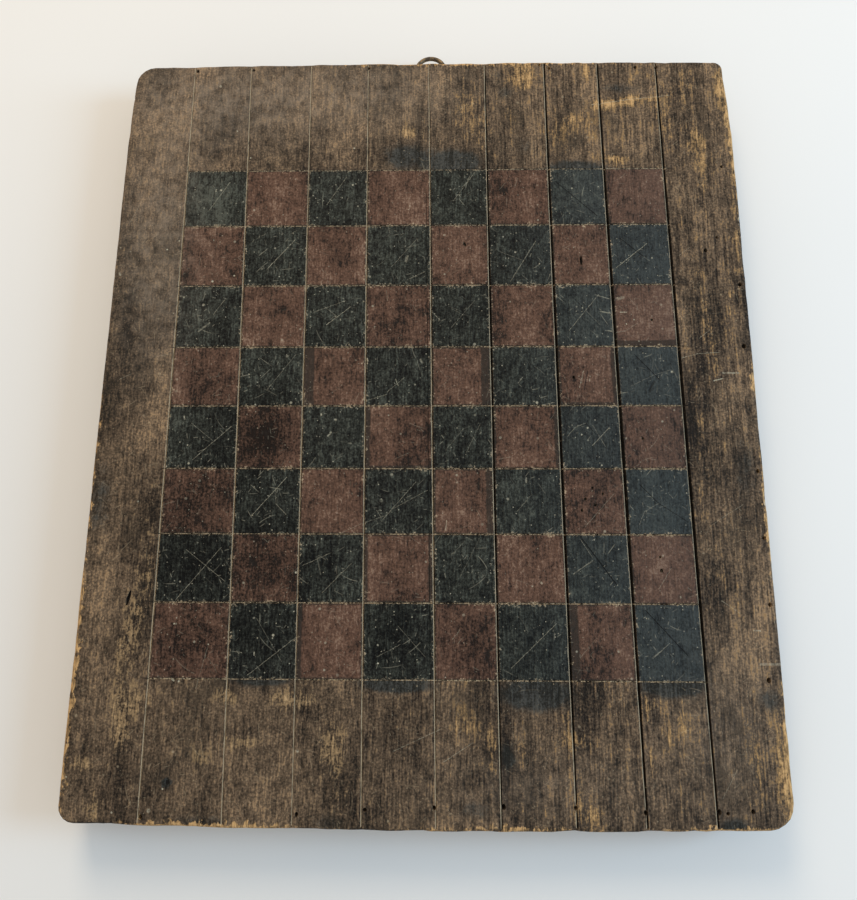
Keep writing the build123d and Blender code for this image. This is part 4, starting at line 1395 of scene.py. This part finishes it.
def plain_wood_material(colours, turned):
    material, web, shader, place = new_material("cleat_wood")
    if turned:
        place = web.stretch(place, turn=(0, 0, math.radians(90)))
    grain = web.group(once("Long Grain", build_grain), Position=place)
    start = saw_and_knots(web, place, CLEAT_KNOTS, 0.5)
    value = weigh(web, start, (grain["Fibre"], 1.2), (grain["Streak"], 1.3), (grain["Broad"], 0.8),
                  (grain["Mottle"], 0.9), (grain["Short"], 0.7))
    colour = five_tints(web, value, [shade(colours.back_wood, step) for step in (0.12, 0.45, 0.9, 1.35, 1.9)])
    web.put(shader["Base Color"], colour)
    web.put(shader["Roughness"], web.times_plus(grain["Fibre"], 0.2, 0.6))
    shader["Specular IOR Level"].default_value = 0.3
    relief(web, shader, weigh(web, 0.5, (grain["Fibre"], 0.8), (grain["Streak"], 0.8)), 0.0003)
    return material


def metal_material(name, base, dark, metallic, rough):
    material, web, shader, place = new_material(name)
    blotch = web.noise(place, 420.0, 5.0, 0.65)
    fine = web.noise(place, 2600.0, 3.0, 0.6)
    rust = web.plus(web.times(blotch, 0.7), web.times(fine, 0.3))
    rusty = web.ramp(rust, 0.42, 0.62)
    web.put(shader["Base Color"], web.mix(rusty, base, dark))
    web.put(shader["Metallic"], web.times_plus(rusty, -metallic * 0.8, metallic))
    web.put(shader["Roughness"], web.times_plus(rusty, 0.3, rough))
    relief(web, shader, web.plus(blotch, fine), 0.00008)
    return material


class CHECKERBOARD_OT_back(bpy.types.Operator):
    """Dress the cleats, the nails, the strap and the screws behind the plank"""

    bl_idname = "checkerboard.back"
    bl_label = "Cleats and Fixings"

    def execute(self, context):
        colours = context.scene.board_colours
        wood = plain_wood_material(colours, True)
        iron = metal_material("rusted_iron", tuple(colours.iron), (0.07, 0.032, 0.016), 0.8, 0.45)
        steel = metal_material("aged_steel", (0.30, 0.28, 0.25), (0.09, 0.055, 0.035), 0.9, 0.35)
        for name, material in (
            ("top_cleat", wood), ("bottom_cleat", wood), ("cleat_nails", iron),
            ("hanger_strap", iron), ("hanger_screws", steel),
        ):
            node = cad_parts[name]
            node.data.materials.clear()
            node.data.materials.append(material)
        return {"FINISHED"}


class CHECKERBOARD_OT_ring(bpy.types.Operator):
    """Spin the hanging ring from its wire"""

    bl_idname = "checkerboard.ring"
    bl_label = "Hanging Ring"

    def execute(self, context):
        sizes = context.scene.board_sizes
        low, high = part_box("hanger_ring")
        middle = (low + high) / 2
        radius = (high.y - low.y) / 2 - sizes.wire / 2
        show_only(None)
        at = middle + Vector((radius, 0, 0))
        bpy.ops.mesh.primitive_circle_add(vertices=20, radius=sizes.wire / 2, location=at,
                                          rotation=(math.radians(90), 0, 0))
        ring = bpy.context.object
        ring.name = "ring"
        bpy.ops.object.transform_apply(location=True, rotation=True, scale=True)
        pick(ring, "VERT", lambda co: True)
        bpy.ops.mesh.spin(steps=96, angle=math.tau, center=middle, axis=(0, 0, 1))
        bpy.ops.mesh.select_all(action="SELECT")
        bpy.ops.mesh.remove_doubles(threshold=1e-6)
        bpy.ops.mesh.normals_make_consistent(inside=False)
        bpy.ops.object.mode_set(mode="OBJECT")
        smooth(ring, 60)
        colours = context.scene.board_colours
        brass = metal_material("tarnished_brass", tuple(colours.brass), (0.035, 0.025, 0.016), 0.7, 0.45)
        settle(ring, ("hanger_ring",), "ring", brass)
        return {"FINISHED"}


class CHECKERBOARD_OT_stage(bpy.types.Operator):
    """Lay the pale table, hang the two soft lamps and set up the camera"""

    bl_idname = "checkerboard.stage"
    bl_label = "Table, Lamps and Camera"

    def execute(self, context):
        scene = context.scene
        sizes = scene.board_sizes
        show_only(None)
        bpy.ops.mesh.primitive_plane_add(size=4.0, location=(0, 0, -0.0002))
        table = bpy.context.object
        table.name = "table"
        material, web, shader, place = new_material("pale_table")
        soft = web.noise(place, 3.0, 2.0)
        web.put(shader["Base Color"], web.mix(soft, (0.80, 0.80, 0.79), (0.84, 0.84, 0.83)))
        shader["Roughness"].default_value = 0.9
        table.data.materials.append(material)
        world = bpy.data.worlds.new("room")
        world.use_nodes = True
        light = world.node_tree.nodes["Background"].inputs
        light["Color"].default_value = ROOM_TINT
        light["Strength"].default_value = ROOM_LEVEL
        scene.world = world
        for name, at, width, length, power, tint in LAMPS:
            data = bpy.data.lights.new(name, "AREA")
            data.shape = "RECTANGLE"
            data.size = width
            data.size_y = length
            data.energy = power * sizes.lamp_level
            data.color = tint
            lamp = bpy.data.objects.new(name, data)
            lamp.location = at
            lamp.rotation_euler = (Vector((0, 0, 0)) - Vector(at)).to_track_quat("-Z", "Y").to_euler()
            scene.collection.objects.link(lamp)
        data = bpy.data.cameras.new("camera")
        data.lens = CAMERA_LENS
        data.sensor_width = 36.0
        data.clip_start = 0.01
        camera = bpy.data.objects.new("camera", data)
        camera.rotation_mode = "ZXY"
        camera.location = CAMERA_AT
        camera.rotation_euler = CAMERA_TURN
        scene.collection.objects.link(camera)
        scene.camera = camera
        scene.view_settings.view_transform = "Standard"
        return {"FINISHED"}


class CHECKERBOARD_PT_panel(bpy.types.Panel):
    """Buttons that build the checkerboard piece by piece"""

    bl_idname = "CHECKERBOARD_PT_panel"
    bl_label = "Checkerboard"
    bl_space_type = "VIEW_3D"
    bl_region_type = "UI"
    bl_category = "Checkerboard"

    def draw(self, context):
        for group in (context.scene.board_sizes, context.scene.board_colours):
            box = self.layout.box()
            for key in group.__annotations__:
                box.prop(group, key)
        for operator in OPERATORS:
            self.layout.operator(operator.bl_idname)


OPERATORS = (
    CHECKERBOARD_OT_plank,
    CHECKERBOARD_OT_back,
    CHECKERBOARD_OT_ring,
    CHECKERBOARD_OT_stage,
)
CLASSES = (BoardSizes, BoardColours) + OPERATORS + (CHECKERBOARD_PT_panel,)


def register():
    for cls in CLASSES:
        bpy.utils.register_class(cls)
    bpy.types.Scene.board_sizes = PointerProperty(type=BoardSizes)
    bpy.types.Scene.board_colours = PointerProperty(type=BoardColours)


def unregister():
    del bpy.types.Scene.board_colours
    del bpy.types.Scene.board_sizes
    for cls in reversed(CLASSES):
        bpy.utils.unregister_class(cls)


def main():
    register()
    bpy.ops.checkerboard.plank()
    bpy.ops.checkerboard.back()
    bpy.ops.checkerboard.ring()
    bpy.ops.checkerboard.stage()
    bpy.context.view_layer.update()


if __name__ == "__main__":
    main()
